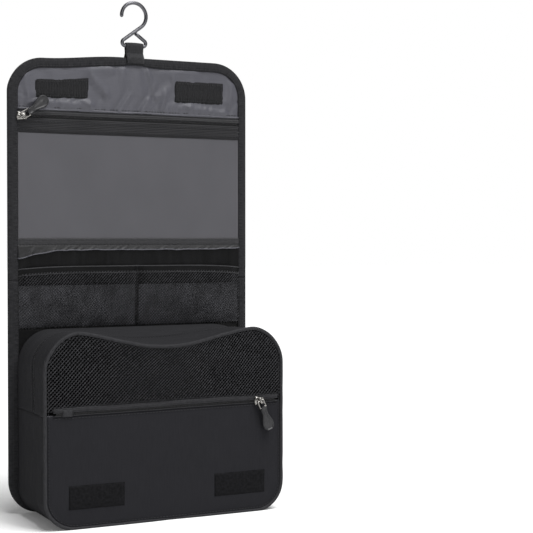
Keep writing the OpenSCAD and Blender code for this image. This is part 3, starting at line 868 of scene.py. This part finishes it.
def build_spine_front():
    pocket = net("pocket_net", 2.8, (-OPEN_HALF - 1, OPEN_HALF + 1), (POCKET_LOW - 1, ELASTIC_LOW + 3),
                 lambda x, z: np.abs(x) < OPEN_HALF + 1, lambda x, z: stack(x, pocket_y(x, z), lifted(x, z)),
                 "mesh_net", ("pocket_mesh",))
    low_bend(pocket)
    run = steps(-OPEN_HALF - 0.8, OPEN_HALF + 0.8, 2.5)
    tall = POCKET_TOP - ELASTIC_LOW
    section = [(-0.2, 0.5), (0, -0.3), (1.2, -0.35), (tall / 2, 0.05), (tall - 1.2, -0.35), (tall, -0.3),
               (tall + 0.2, 0.5), (tall / 2, 0.8)]
    rows = [[(x, pocket_y(x, ELASTIC_LOW) + out * 0.9, lifted(x, ELASTIC_LOW + up)) for up, out in section]
            for x in run]
    elastic = piece("pocket_mouth_elastic", loft(rows, closed=True), "facing", "binding_tape", ("pocket_elastic",))
    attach(elastic, "spine")
    ridges = [tube(stack(run, pocket_y(run, ELASTIC_LOW + 0 * run) + 0.05, lifted(run, ELASTIC_LOW + up)), r, 8)
              for up, r in ((0.5, 0.5), (tall - 0.5, 0.6))]
    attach(piece("pocket_mouth_ridges", ridges, "trim", "binding_tape"), "spine")
    post = steps(POCKET_LOW, POCKET_TOP + 0.5, 2)
    middle = stack(DIVIDER_X, pocket_y(DIVIDER_X + 0 * post, post) - 0.7, lifted(DIVIDER_X + 0 * post, post))
    low_bend(piece("pocket_stitches", dashes(middle, pitch=2.6, length=1.9), "thread", "binding_tape"))
    seam = loft([[(DIVIDER_X + w, pocket_y(DIVIDER_X, z) - 0.45 * (1 - abs(w) / 1.6), z)
                  for w in (-1.6, -0.8, 0, 0.8, 1.6)] for z in post])
    low_bend(thicken(piece("pocket_seam", seam, "facing", "binding_tape"), 0.3))
    tape = ribbon(-OPEN_HALF - 2, OPEN_HALF + 2, TAPE_LOW + 1.2, WINDOW_LOW + 0.4, PANEL_IN - 1.35, crown=0.5)
    high_bend(thicken(piece("fold_seam_tape", tape, "trim", "binding_tape", ("fold_tape",)), 0.5))
    seams = [dashes(stack(run, PANEL_IN - 1.95, height))
             for height in (TAPE_LOW + 2.6, WINDOW_LOW - 1.2)]
    high_bend(piece("fold_tape_stitches", seams, "thread", "binding_tape"))
    build_pocket_back()


def build_pocket_back():
    """A near-black sheet behind the pocket's mouth, painted shade, and the hem of the flap's lining, which hangs over
    it in a darker copy of the lining, also painted shade.
    """
    x, z = np.meshgrid(steps(-OPEN_HALF - 2, OPEN_HALF + 2, 2), steps(SHADE_SHEET_LOW, TAPE_LOW + 3, 2))
    folds = 0.8 * ripple(x / 9, z / 60, 0, 6.1) + 0.4 * ripple(x / 4, z / 40, 0, 2.6)
    y = PANEL_IN - 0.25 - tuck(x) * (1.0 + folds * ease((z - SHADE_SHEET_LOW) / 5))
    # a near-black sheet behind the net's mouth: painted shade
    facing = thicken(piece("pocket_mouth_shade_sheet", loft(stack(x, y, z)), "facing", "lining"), 0.3)
    high_bend(facing)
    x = steps(-OPEN_HALF - 0.8, OPEN_HALF + 0.8, 1.3)
    from_left, from_right = np.maximum(x + OPEN_HALF, 0), OPEN_HALF - x
    drop = 4.2 + 7.5 * np.exp(-(from_left / 22) ** 1.5) - 1.6 * np.exp(-from_right / 18)
    drop = drop + 0.8 * ripple(x / 12, 0, 0, 7.7)
    t = np.linspace(0, 1, 10)
    z = TAPE_LOW + 1.6 - drop[:, None] * t[None, :]
    pleats = ripple(x[:, None] / 3.6 + 1.6 * t[None, :], 0, 0, 1.7) * (0.7 + 0.9 * np.exp(-from_left / 30))[:, None]
    y = PANEL_IN - 1.5 - t[None, :] * (1.1 + 1.3 * pleats) * tuck(x)[:, None]
    # the hem is the lining's cloth in its darker copy: painted shade
    hem = thicken(piece("pocket_lining_edge", loft(stack(x[:, None], y, z)), "hem", "lining"), 0.4)
    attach(hem, "spine")
    edge = tube(stack(x, y[:, -1], z[:, -1]), 0.55, 6)
    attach(piece("pocket_lining_roll", edge, "lining", "lining"), "spine")


# ---------- The case ----------

LOWER = half_turn(CASE_HALF, SEAM_Z, 0, CASE_R_LOW)
UPPER = half_turn(CASE_HALF, SEAM_Z, CASE_TOP, CASE_R_TOP)


def flare(x, forward):
    """The front stands wider than the back, most on its left."""
    x = np.asarray(x, float)
    return x + np.where(x < 0, -4.0, 1.0) * forward * np.abs(x / CASE_HALF) ** 4


def sink(x, y, z):
    """The unfilled case slumps: its top dips between the corners, most at the front."""
    x, y, z = np.broadcast_arrays(np.asarray(x, float), y, z)
    forward = np.clip((CASE_BACK - y) / (CASE_BACK - CASE_FRONT), 0, 1)
    raised = np.clip((z - LID_Z + 8) / (CASE_TOP - LID_Z + 8), 0, 1.1) ** 1.6
    dip = 12.6 * np.exp(-np.abs((x + 2) / 53) ** 2.3) - 1.3 - 2.6 * bump(x, -86, 22) - 1.6 * bump(x, 80, 20)
    return stack(flare(x, forward), y, np.maximum(z - (dip * forward - 1.3 * (1 - forward)) * raised, 0.05))


def slack(outline, y):
    """How far the case's side cloth stands out, or in if negative, at each outline point and a depth y."""
    points, normals = outline
    x, z = points[:, 0], points[:, 1]
    depth = np.clip((y - CASE_FRONT) / (CASE_BACK - CASE_FRONT), 0, 1)
    held = np.sin(math.pi * depth) ** 0.7
    side = np.abs(normals[:, 0])
    hollow = -2.6 * side * bump(z, 95, 60) - 1.0 * (1 - side) * (z > SEAM_Z)
    drape = 1.2 * ripple(y / 17, x / 80, z / 48, 2.7) + 0.35 * ripple(y / 7, x / 60, z / 34, 7.3)
    pinch = -0.7 * bump(y, ZIP_Y, 8) * ease((z - SEAM_Z) / 12) * side
    slider_way = 1 - (x > 0) * bump(y, ZIP_Y, 13) * ease((z - 78) / 14) * ease((150 - z) / 14)
    on_floor = ease(z / 10)
    return held * (hollow + drape + pinch) * slider_way * on_floor


def on_case(outline, offset, y):
    """Points on the case's side at a depth y, moved out from the outline by offset."""
    points, normals = outline
    out = offset + slack(outline, y)
    return sink(points[:, 0] + normals[:, 0] * out, y, points[:, 1] + normals[:, 1] * out)


def side_wall(name, outline, y0, y1, material, slot, replaces, outer=0.0, inner=-WALL, columns=26):
    """Cloth with its own thickness between two depths."""
    depths = np.linspace(y0, y1, columns)
    out = [on_case(outline, outer, y) for y in depths]
    back = [on_case(outline, inner, y) for y in depths[::-1]]
    rows = np.stack(out + back, 1)
    return piece(name, loft(rows, closed=True), material, slot, replaces)


def build_case_sides():
    front_edge, rear_edge = ZIP_Y - 1.6, ZIP_Y + 1.6
    under_wall = (-WALL - 0.1, -WALL - 0.8, 8)
    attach(side_wall("gusset_base_and_sides", LOWER, CASE_FRONT + 0.8, CASE_BACK, "side", "side_cloth",
                      ("gusset_lower",), columns=44), "case")
    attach(side_wall("gusset_top_rear", UPPER, rear_edge, CASE_BACK, "side", "side_cloth",
                      ("gusset_upper_rear",)), "case")
    lid_bend(side_wall("gusset_top_front", UPPER, CASE_FRONT + 0.8, front_edge, "side", "side_cloth",
                       ("gusset_upper_front",)))
    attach(side_wall("main_tape_rear", UPPER, ZIP_Y + 0.9, ZIP_Y + 8.2, "tape", "zip_tape",
                      ("main_zip_tape_rear",), *under_wall), "case")
    lid_bend(side_wall("main_tape_front", UPPER, ZIP_Y - 8.2, ZIP_Y - 0.9, "tape", "zip_tape",
                       ("main_zip_tape_front",), *under_wall))
    build_main_zip()
    build_case_seams()


def resample(path, places):
    return along_path(places, travelled(path), path)


def side_x(side, y, z, out=0.0):
    """Where the case's side cloth stands at a depth y and a height z, moved out."""
    y, z = np.broadcast_arrays(y, z)
    points = np.stack([np.full(z.size, side * CASE_HALF), z.ravel()], 1)
    normals = np.repeat([[side, 0.0]], z.size, 0)
    return side * (CASE_HALF + slack((points, normals), y.ravel()).reshape(z.shape) + out)


def build_main_zip():
    line = on_case(UPPER, -0.75, ZIP_Y)
    normals = stack(UPPER[1][:, 0], 0, UPPER[1][:, 1])
    run = travelled(line)
    for side, shift, name in ((1, 0.0, "main_teeth_rear"), (-1, TOOTH_PITCH / 2, "main_teeth_front")):
        places = np.arange(0.7 + shift, run[-1] - 0.7, TOOTH_PITCH)
        facing = unit(along_path(places, run, normals))
        teeth = zip_teeth(along_path(places, run, line), np.array([BACKWARD]), facing, side)
        made = piece(name, teeth, "coil", "zip_coil", ("main_zip_coil",))
        if side > 0:
            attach(made, "case")
        else:
            lid_bend(made)
    tabs = []
    foot, head, half = low("main_zip_end_tabs").z, SEAM_Z + 0.5, 4.5
    z, y = np.meshgrid(np.linspace(foot, head, 9), np.linspace(ZIP_Y - half, ZIP_Y + half, 10))
    edge = np.minimum(np.minimum(z - foot, head - z), half - np.abs(y - ZIP_Y))
    for side in (-1, 1):
        base = side_x(side, y, z)
        top = base + side * (0.25 + 0.75 * np.sqrt(np.clip(edge, 0, 1)))
        tabs.append(slab(stack(top, y, z), stack(base - side * 0.3, y, z)))
    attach(piece("main_zip_tabs", tabs, "tape", "zip_tape", ("main_zip_end_tabs",)), "case")


def build_case_seams():
    """Top stitching beside the main zip and the seam that closes its lower ends."""
    normals = stack(UPPER[1][:, 0], 0, UPPER[1][:, 1])
    rear = dashes(on_case(UPPER, 0.15, ZIP_Y + 3.6), normals)
    front = dashes(on_case(UPPER, 0.15, ZIP_Y - 3.6), normals)
    cross = []
    height = SEAM_Z - 2.2
    for side in (-1, 1):
        for y0, y1 in ((CASE_FRONT + 3, ZIP_Y - 6), (ZIP_Y + 6, CASE_BACK - 2)):
            y = steps(y0, y1, 2)
            cross.append(dashes(stack(side_x(side, y, height, 0.15), y, height), (side, 0, 0)))
    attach(piece("gusset_stitches_rear", [rear] + cross, "thread", "side_cloth"), "case")
    lid_bend(piece("gusset_stitches_front", front, "thread", "side_cloth"))


# ---------- The case's front ----------

def zip_line(x):
    return FRONT_ZIP_Z + math.tan(FRONT_ZIP_TILT) * x


def crown(x, z):
    """How far the empty pocket's cloth stands out between its seams."""
    share = np.clip(z / zip_line(x), 0, 1)
    side = 1 - np.abs(np.clip(x / CASE_HALF, -1, 1)) ** 5
    folds = 0.7 * ripple(x / 36, z / 26, 0, 4.9) + 0.35 * ripple((x + z) / 13, (x - z) / 40, 0, 2.1)
    corner = 1.6 * crease(x, z, 40, 6, 88, 14, 5)
    return np.sin(math.pi * share) ** 0.8 * side * (1.8 + folds) + corner * side * np.sin(math.pi * share)


def front_y(x, z):
    return CASE_FRONT - crown(x, z)


def billow(x, z):
    """How far the net stands out above the front zip."""
    foot, top = zip_line(x) + 3, CASE_TOP
    share = np.clip((z - foot) / (top - foot), 0, 1)
    side = 1 - np.abs(np.clip(x / CASE_HALF, -1, 1)) ** 5
    waves = 1.3 * ripple(x / 30, z / 22, 0, 3.3) + 0.5 * ripple(x / 12, z / 14, 0, 8.1)
    return np.sin(math.pi * share) * side * (1.2 + waves)


def in_case(x, z, inset):
    half = spread(z, CASE_HALF - inset, inset, CASE_TOP - inset, CASE_R_LOW - inset, CASE_R_TOP - inset)
    return np.abs(x) < half


def front_sheet(name, inset, lift, material, slot, replaces, top_gap):
    """Cloth below the front zip, with its top edge along the zip."""
    foot = 0.8
    edge = FRONT_ZIP_Z - top_gap
    z = heights(foot, edge, CASE_R_LOW - inset, 0, 3.0)
    x, z = fill(z, spread(z, CASE_HALF - inset, foot, 400, CASE_R_LOW - inset, 1), 76)
    z = z + math.tan(FRONT_ZIP_TILT) * x * ((z - foot) / (edge - foot)) ** 2
    return piece(name, loft(stack(flare(x, 1), front_y(x, z) + lift, z)), material, slot, replaces)


def build_case_front():
    cloth = thicken(front_sheet("front_pocket_cloth", 1.2, 0.3, "pocket", "outer_cloth", ("front_pocket_panel",),
                                1.6), 0.6)
    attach(cloth, "case")
    lining = thicken(front_sheet("front_pocket_lining", 1.4, 1.8, "lining", "lining", ("front_pocket_backing",),
                                 1.0), 0.4)
    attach(lining, "case")
    for side in ("left", "right"):
        fastener_patch(f"loop_fastener_{side}", f"loop_patch_{side}", "case", front_y, "loops", "loop_fastener",
                       0.7, sewn=False)
    lid_bend(net("front_net", 3.1, (-CASE_HALF, CASE_HALF), (FRONT_ZIP_Z - 3, CASE_TOP),
                 lambda x, z: (z > zip_line(x) + 1.6) & in_case(x, z, 1.0),
                 lambda x, z: sink(x, CASE_FRONT + 0.2 - billow(x, z), z), "mesh_net", ("mesh_panel",)))
    build_front_zip()
    build_piping()


def build_front_zip():
    along = np.array([math.cos(FRONT_ZIP_TILT), 0, math.sin(FRONT_ZIP_TILT)])
    straight_zip("front_teeth", (0, CASE_FRONT - 0.5, FRONT_ZIP_Z), along, FRONT_ZIP_HALF - 0.5, "case",
                 "front_zip_coil")
    wide = FRONT_ZIP_HALF + 1
    run = steps(-wide, wide, 3)

    def line(up, lift):
        return stack(run, CASE_FRONT - lift, zip_line(run) + up)

    wave = 0.25 * np.sin(run / 19) + 0.15 * np.sin(run / 7)
    lips = [tube(line(3.2 + wave, 0.5), 1.75, 10, flatten=(FRONTWARD, 0.45)),
            tube(line(1.35 + 0.7 * wave, 0.85), 0.42, 6),
            tube(line(-1.7 + 0.4 * wave, 0.55), 0.4, 6)]
    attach(piece("front_zip_lips", lips, "piping", "zip_tape"), "case")
    t = np.linspace(0, 1, 6)
    tapes = []
    for up0, up1, y in ((1.2, 6.4, CASE_FRONT + 0.9), (-6.4, -1.2, CASE_FRONT + 1.0)):
        z = zip_line(run)[:, None] + up0 + (up1 - up0) * t[None, :]
        tapes.append(loft(stack(run[:, None], y, z)))
    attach(thicken(piece("front_tape", tapes, "tape", "zip_tape", ("front_zip_tape",)), 0.4), "case")
    seams = [dashes(line(-4.0, 0.25) - stack(0, crown(run, zip_line(run) - 4.0), 0)),
             dashes(line(4.6, 1.15))]
    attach(piece("front_zip_stitches", seams, "thread", "zip_tape"), "case")
    a, b = node_box("front_zip_end_tab")
    foot, head = a.z + 1.4, b.z - 0.4
    x, z = np.meshgrid(np.linspace(a.x, b.x, 18), np.linspace(foot, head, 14))
    edge = from_sides(x, z, a.x, b.x, foot, head)
    top = CASE_FRONT - 1.2 - 0.9 * np.sqrt(np.clip(edge / 1.5, 0, 1)) + 0.4 * bump(x, b.x - 2.6, 0.6)
    tab = slab(stack(x, top, z), stack(x, CASE_FRONT + 0.2, z))
    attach(piece("front_zip_stop", tab, "piping", "zip_tape", ("front_zip_end_tab",)), "case")


def build_piping():
    """One covered cord round the whole front edge."""
    points = np.concatenate([UPPER[0], LOWER[0][-2:0:-1]])
    normals = np.concatenate([UPPER[1], LOWER[1][-2:0:-1]])
    inset = 0.6
    wobble = 0.25 * ripple(points[:, 0] / 12, points[:, 1] / 12, 0, 5.5)
    at_loop = bump(points[:, 0], HOOK_X, 12) ** 0.5 * (points[:, 1] < 20)
    centre = sink(points[:, 0] - normals[:, 0] * (inset + wobble), CASE_FRONT - 0.1 + 1.2 * at_loop,
                  points[:, 1] - normals[:, 1] * (inset + wobble))
    rows = tube(centre, 1.65, 10, loop=True)
    rows[0][:, 2] = np.maximum(rows[0][:, 2], 0.05)
    made = piece("front_piping", rows, "piping", "binding_tape", ("piping_lower", "piping_upper"))
    lid_bend(made)
    inner = sink(points[:, 0] - normals[:, 0] * 3.4, CASE_FRONT - 0.45, points[:, 1] - normals[:, 1] * 3.4)
    inner[:, 1] -= np.where(points[:, 1] < FRONT_ZIP_Z, crown(inner[:, 0], inner[:, 2]), 0)
    lid_bend(piece("piping_stitches", dashes(inner), "thread", "binding_tape"))


# ---------- Handle, loop, hook and label ----------

# Distances from the strap's middle: where it lies flat, is sewn down, starts to bend and moves freely
STRAP_FLAT, STRAP_SEWN, STRAP_BENDS, STRAP_FREE = 96, 92, 94, 66


def strap_y(x):
    """The strap's middle, flat at its sewn ends and arched between them."""
    base, peak = PANEL_OUT + 2.4, high("handle").y - 1.2
    return base + (peak - base) * ease((STRAP_FLAT - np.abs(x)) / 92) ** 0.85


def build_handle():
    z_mid = midway("handle", 2)
    half = (high("handle").z - low("handle").z) / 2
    turn = np.linspace(0, 2 * math.pi, 28, endpoint=False)
    for side, name, nodes in ((-1, "handle_left", ("handle",)), (1, "handle_right", ("handle", "handle_anchors"))):
        x = side * steps(0, OPEN_HALF - 0.5, 2.5)
        y = strap_y(x)
        slope = np.gradient(y, x)
        rows = []
        narrowed, curled = half * (1 - 0.12 * bump(x, 0, 45)), 1.6 * bump(x, 0, 50)
        for xi, yi, si, wide, curl in zip(x, y, slope, narrowed, curled):
            normal = np.array([-si, 1.0]) / math.hypot(si, 1)
            across = np.sign(np.cos(turn)) * np.abs(np.cos(turn)) ** 0.35 * wide
            thick = np.sign(np.sin(turn)) * np.abs(np.sin(turn)) ** 0.55 * 1.25 - curl * (across / wide) ** 2
            rows.append(stack(xi + normal[0] * thick, yi + normal[1] * thick, z_mid + across))
        strap = piece(name, loft(rows, closed=True), "outer", "outer_cloth", nodes)
        seams = []
        wide = narrowed - 2.6
        lean = np.hypot(slope, 1)
        free = np.abs(x) < 78  # where the strap's underside stands clear of the spine
        for edge in (-1, 1):
            for face, normal, sewn in ((-1, FRONTWARD, free), (1, BACKWARD, slice(None))):
                out = face * 1.35 - curled * (wide / half) ** 2
                line = stack(x - slope / lean * out, y + out / lean, z_mid + edge * wide)
                seams.append(dashes(line[sewn], normal))
        seams += crossed_box(side * STRAP_SEWN, side * (OPEN_HALF - 3), z_mid, half - 2.6)
        stitches = piece(name + "_stitches", seams, "thread", "outer_cloth")
        for made in (strap, stitches):
            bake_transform(made)


def crossed_box(x0, x1, z_mid, half):
    """Stitches through the strap's end: a box's two ends and a cross between them."""
    corners = [(x0, z_mid - half), (x1, z_mid - half), (x1, z_mid + half), (x0, z_mid + half)]
    runs = [(corners[0], corners[3]), (corners[1], corners[2]), (corners[0], corners[2]), (corners[1], corners[3])]
    seams = []
    for (xa, za), (xb, zb) in runs:
        x, z = np.linspace(xa, xb, 20), np.linspace(za, zb, 20)
        seams.append(dashes(stack(x, strap_y(x) + 1.35, z), BACKWARD, 2.6, 1.9))
    return seams


def build_loop():
    """Webbing that goes up the flap's front, over the hook's bar and down its back."""
    a, b = node_box("hanging_loop")
    bar_y, bar_z = (a.y + b.y) / 2, b.z - 3
    r = 2.45
    front = [(PANEL_IN - 2.5, PANEL_TOP - 5.6), (PANEL_IN - 2.5, PANEL_TOP - 3), (PANEL_IN - 2.0, PANEL_TOP - 0.5),
             (PANEL_IN - 0.7, PANEL_TOP + 1.8), (bar_y - 1.35, PANEL_TOP + 4), (bar_y - 1.9, bar_z - 3)]
    over = [(bar_y - r * math.cos(t), bar_z + r * math.sin(t)) for t in np.linspace(-0.35, math.pi + 0.35, 12)]
    back = [(2 * bar_y - y, z) for y, z in front[::-1]]
    path = np.array(front + over + back)
    path = resample(path, np.linspace(0, travelled(path)[-1], 70))
    x = np.linspace(a.x, b.x, 15)
    bow = 0.35 * (1 - ((x - (a.x + b.x) / 2) / (b.x - a.x) * 2) ** 2)
    ahead = unit(np.gradient(path, axis=0))
    out = np.stack([-ahead[:, 1], ahead[:, 0]], 1)
    rows = [stack(x, p[0] + o[0] * bow, p[1] + o[1] * bow) for p, o in zip(path, out)]
    made = thicken(piece("webbing_loop", loft(rows), "webbing", "webbing", ("hanging_loop",)), 1.1)
    bend(made)
    seams = []
    for height in (PANEL_TOP - 4.4, PANEL_TOP - 2.2):
        seams.append(dashes(stack(steps(a.x + 1, b.x - 1, 1), PANEL_IN - 3.35, height), pitch=2.2, length=1.6))
    bend(piece("webbing_loop_stitches", seams, "thread", "webbing"))


def wire_arc(x, z, r, a0, a1, count):
    angles = np.radians(np.linspace(a0, a1, count))
    return [(x + r * math.cos(a), z + r * math.sin(a)) for a in angles]


def build_hook():
    """Round wire: a short leg, two bends of the eye with the bar between them, a long leg and the hook."""
    a, b = node_box("hook")
    wire, bend_r, hook_r = 1.7, 3.0, 12.3
    loop_half = (high("hanging_loop").x - low("hanging_loop").x) / 2
    centre_x = midway("hanging_loop", 0)
    bar_z, y = a.z + wire, (a.y + b.y) / 2
    hook_z = b.z - wire - hook_r
    eye = loop_half + 0.3
    rise = hook_z - bar_z - bend_r
    slope = math.atan2(rise, eye) - math.asin((hook_r + bend_r) / math.hypot(eye, rise))
    lean = math.degrees(slope)
    leg = (eye + bend_r * math.sin(slope)) / math.cos(slope) - 1.1 * wire
    start = (eye + bend_r * math.sin(slope), bend_r + bend_r * math.cos(slope))
    path = [(start[0] - leg * math.cos(slope) * s, start[1] + leg * math.sin(slope) * s) for s in (1, 0.66, 0.33)]
    path += wire_arc(eye, bend_r, bend_r, 90 - lean, -90, 14)
    path += [(eye * s, 0) for s in (0.5, 0, -0.5)]
    path += wire_arc(-eye, bend_r, bend_r, 270, 90 + lean, 14)
    path += wire_arc(0, hook_z - bar_z, hook_r, lean - 90, 181, 40)
    path = np.array(path)
    tip = path[-1] - path[-2]
    tip /= np.linalg.norm(tip)
    ends = [(0.35 * wire, 0.94), (0.7 * wire, 0.72), (0.95 * wire, 0.32)]
    path = np.concatenate([path, [path[-1] + tip * along for along, _ in ends]])
    radius = np.concatenate([np.full(len(path) - 3, wire), [wire * size for _, size in ends]])
    points = stack(centre_x + path[:, 0], y, bar_z + path[:, 1])
    made = piece("wire_hook", tube(points, radius, 16), "steel", "hook_steel", ("hook",))
    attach(made, "hook_wire")


def build_label():
    a, b = node_box("flap_label")
    x, z, edge = patch_grid(a, b, 26, 12)
    face = back_y(x, z)
    top = face + 0.55 + 0.2 * bump(edge, 0.9, 0.6) - 0.35 * (edge < 0.1)
    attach(piece("blank_label", slab(stack(x, top, z), stack(x, face - 0.2, z)), "label", "label", ("flap_label",)),
            "flap")
    seams = box_of_stitches(a, b, 1.3, 20, lambda x, z: back_y(x, z) + 0.8, BACKWARD, 2.2, 1.5)
    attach(piece("blank_label_stitches", seams, "thread", "label"), "flap")


# ---------- Sliders and pulls ----------

def place_on_zip(parts, origin, x_axis, y_axis, z_axis):
    """Moves geometry from a slider's own axes, with z away from the zip, to the frame."""
    turn = np.array([x_axis, y_axis, z_axis], float)
    return [(points @ turn + np.array(origin), faces, uvs) for points, faces, uvs in parts]


def turned(parts, degrees):
    c, s = math.cos(math.radians(degrees)), math.sin(math.radians(degrees))
    spin = np.array([[c, s, 0], [-s, c, 0], [0, 0, 1]])
    return [(points @ spin, faces, uvs) for points, faces, uvs in parts]


RING_LENGTH = 6.6


def slider_parts(pull_angle):
    """A zip slider, its long way along x: a tapered body with side walls, and a bridge for the ring."""
    u, v = np.linspace(-1, 1, 15), np.linspace(-1, 1, 13)
    u, v = np.meshgrid(u, v, indexing="ij")
    half = 3.75 - 0.75 * ease((u + 1) / 2) - 0.5 * np.abs(u) ** 6
    x = 4.95 * u * (1 - 0.1 * np.abs(v) ** 4)
    y = half * v * (1 - 0.18 * np.abs(u) ** 8)
    edge = np.maximum(np.abs(u), np.abs(v))
    top = 2.25 - 0.9 * np.clip(edge - 0.72, 0, 1) ** 1.2 * 3 + 0.25 * bump(v, 0, 0.35)
    plate = slab(stack(x, y, top), stack(x, y, 1.25 + 0 * u))
    parts = [plate]
    for side in (-1, 1):
        s, w = np.meshgrid(np.linspace(-0.86, 0.86, 12), np.linspace(0, 1, 4), indexing="ij")
        reach = (3.7 - 0.75 * ease((s + 1) / 2)) * side
        wall_y = reach - side * 0.8 * w
        parts.append(slab(stack(4.95 * s, wall_y, 1.5 + 0 * s), stack(4.95 * s, wall_y, 0.05 + 0.15 * w)))
    arch = np.linspace(-0.15 * math.pi, 1.15 * math.pi, 18)
    path = stack(0, -3.0 * np.cos(arch), 3.35 + 1.5 * np.sin(arch))
    parts += turned([tube(path, 0.72, 10, flatten=((1, 0, 0), 1.25))], pull_angle)
    return parts


def pull_tab_parts(pull_angle, kink):
    """A moulded pull: a neck round the ring's end, widening to a round end with a raised rim and a middle rib."""
    s, v = np.meshgrid(np.linspace(0, 1, 56), np.linspace(-1, 1, 29), indexing="ij")
    length, neck, wide = 23.4, 3.2, 5.6
    along = s * length
    end = np.sqrt(np.clip(1 - ((along - (length - wide)) / wide) ** 2, 0, 1))
    body = neck - 0.25 * bump(along, 7, 4) + (wide - neck) * ease((along - 6) / (length - wide - 6))
    half = np.where(along > length - wide, wide * end, body)
    half = np.maximum(half * np.sqrt(np.clip(along / 1.4, 0.15, 1)), 0.25)
    edge_gap = np.minimum((1 - np.abs(v)) * half, length - along)
    rim = bump(edge_gap, 0.9, 0.6)
    rib = bump(v * half, 0, 1.1) * ease((along - 5) / 3) * ease((length - 4 - along) / 3)
    edge = np.sqrt(np.clip(edge_gap / 0.6, 0, 1))
    thick = edge * (0.45 + 0.9 * rim + 0.8 * rib + 0.9 * ease((4 - along) / 3)) + 0.02
    parts = turned([slab(stack(half * v, 0.9 - along, 3.7 + thick), stack(half * v, 0.9 - along, 3.7 - thick))], kink)
    parts = [(points + np.array([0, -RING_LENGTH, 0]), faces, uvs) for points, faces, uvs in parts]
    return turned(parts, pull_angle)


def build_pulls():
    tilt = FRONT_ZIP_TILT
    # name, origin on the zip, x axis, y axis, normal, slider turn, pull turn, and the pull's kink at its ring
    runs = (
        ("front", (FRONT_SLIDER_X * math.cos(tilt), CASE_FRONT - 1.3, FRONT_ZIP_Z + FRONT_SLIDER_X * math.sin(tilt)),
         (math.cos(tilt), 0, math.sin(tilt)), (-math.sin(tilt), 0, math.cos(tilt)), FRONTWARD, 0, 23.5, -5),
        ("window", (midway("window_slider", 0), PANEL_IN - 1.3, WINDOW_ZIP_Z),
         (1, 0, 0), (0, 0, 1), FRONTWARD, 0, 122, 6),
        ("main", (CASE_HALF + 0.3, ZIP_Y, MAIN_SLIDER_Z), (0, 1, 0), (0, 0, 1), (1, 0, 0), 90, 0, 3),
    )
    for name, origin, x_axis, y_axis, normal, slider_turn, pull_turn, kink in runs:
        body = turned(slider_parts(pull_turn - slider_turn), slider_turn)
        slider = piece(f"{name}_zip_slider", place_on_zip(body, origin, x_axis, y_axis, normal), "nickel",
                       "slider_metal", (f"{name}_slider",))
        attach(slider, f"{name}_slide_body")
        pull = place_on_zip(pull_tab_parts(pull_turn, kink), origin, x_axis, y_axis, normal)
        tab = piece(f"{name}_zip_pull", pull, "rubber", "pull_rubber", (f"{name}_pull_tab",))
        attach(tab, f"{name}_pull")
        ring = frame["nodes"][f"{name}_pull_ring"]
        ring.data.materials.clear()
        ring.data.materials.append(MATERIALS["nickel"])


# ---------- Camera, light and floor ----------

def build_camera():
    data = bpy.data.cameras.new("camera")
    data.lens = 93.5
    data.sensor_width = 36
    camera = bpy.data.objects.new("camera", data)
    camera.location = (-0.497, -1.1673, 0.251)
    yaw, pitch = math.radians(27.9), math.radians(-1.22)
    ahead = Vector((math.sin(yaw) * math.cos(pitch), math.cos(yaw) * math.cos(pitch), math.sin(pitch)))
    camera.rotation_mode = "QUATERNION"
    camera.rotation_quaternion = ahead.to_track_quat("-Z", "Y")
    bpy.context.scene.collection.objects.link(camera)
    bpy.context.scene.camera = camera


def add_light(kind, name, place, target, energy, **settings):
    data = bpy.data.lights.new(name, kind)
    data.energy = energy
    for setting, value in settings.items():
        setattr(data, setting, value)
    light = bpy.data.objects.new(name, data)
    light.location = place
    light.rotation_mode = "QUATERNION"
    light.rotation_quaternion = (Vector(target) - Vector(place)).to_track_quat("-Z", "Y")
    bpy.context.scene.collection.objects.link(light)


FLOOR_HALF = 9000


def build_studio():
    """A white floor under a white sky. The sky looks brighter than it shines, so that black cloth keeps its shape."""
    spots = np.linspace(-FLOOR_HALF, FLOOR_HALF, 7)
    add_object("floor", *loft([[(x, y, 0) for y in spots] for x in spots]), "floor")
    world = bpy.data.worlds.new("studio")
    world.use_nodes = True
    tree = world.node_tree
    sky = tree.nodes["Background"]
    sky.inputs["Color"].default_value = (1, 1, 1, 1)
    seen = tree.nodes.new("ShaderNodeMapRange")
    tree.links.new(tree.nodes.new("ShaderNodeLightPath").outputs["Is Camera Ray"], seen.inputs["Value"])
    seen.inputs["To Min"].default_value = 0.2
    seen.inputs["To Max"].default_value = 1.0
    tree.links.new(seen.outputs["Result"], sky.inputs["Strength"])
    bpy.context.scene.world = world
    bpy.context.scene.view_settings.view_transform = "Standard"
    add_light("SUN", "overhead", (0.16, -0.3, 0.94), (0, 0, 0), 3.6, angle=math.radians(36))
    add_light("AREA", "front", (0.6, -2.2, 1.5), (0, 0, 0.25), 14, shape="DISK", size=0.5)
    add_light("AREA", "strip", (-0.6, -1.5, 1.0), (0, 0, 0.44), 1.0, shape="DISK", size=0.12)


# ---------- Everything ----------

build_camera()
build_panel()
build_flap_lining()
for side in ("left", "right"):
    fastener_patch(f"hook_fastener_{side}", f"hook_patch_{side}", "flap", lambda x, z: PANEL_IN - 0.55 + 0 * x,
                   "hooks", "hook_fastener", 1.3)
build_window()
build_spine_front()
build_case_sides()
build_case_front()
build_handle()
build_loop()
build_hook()
build_label()
build_pulls()
build_studio()
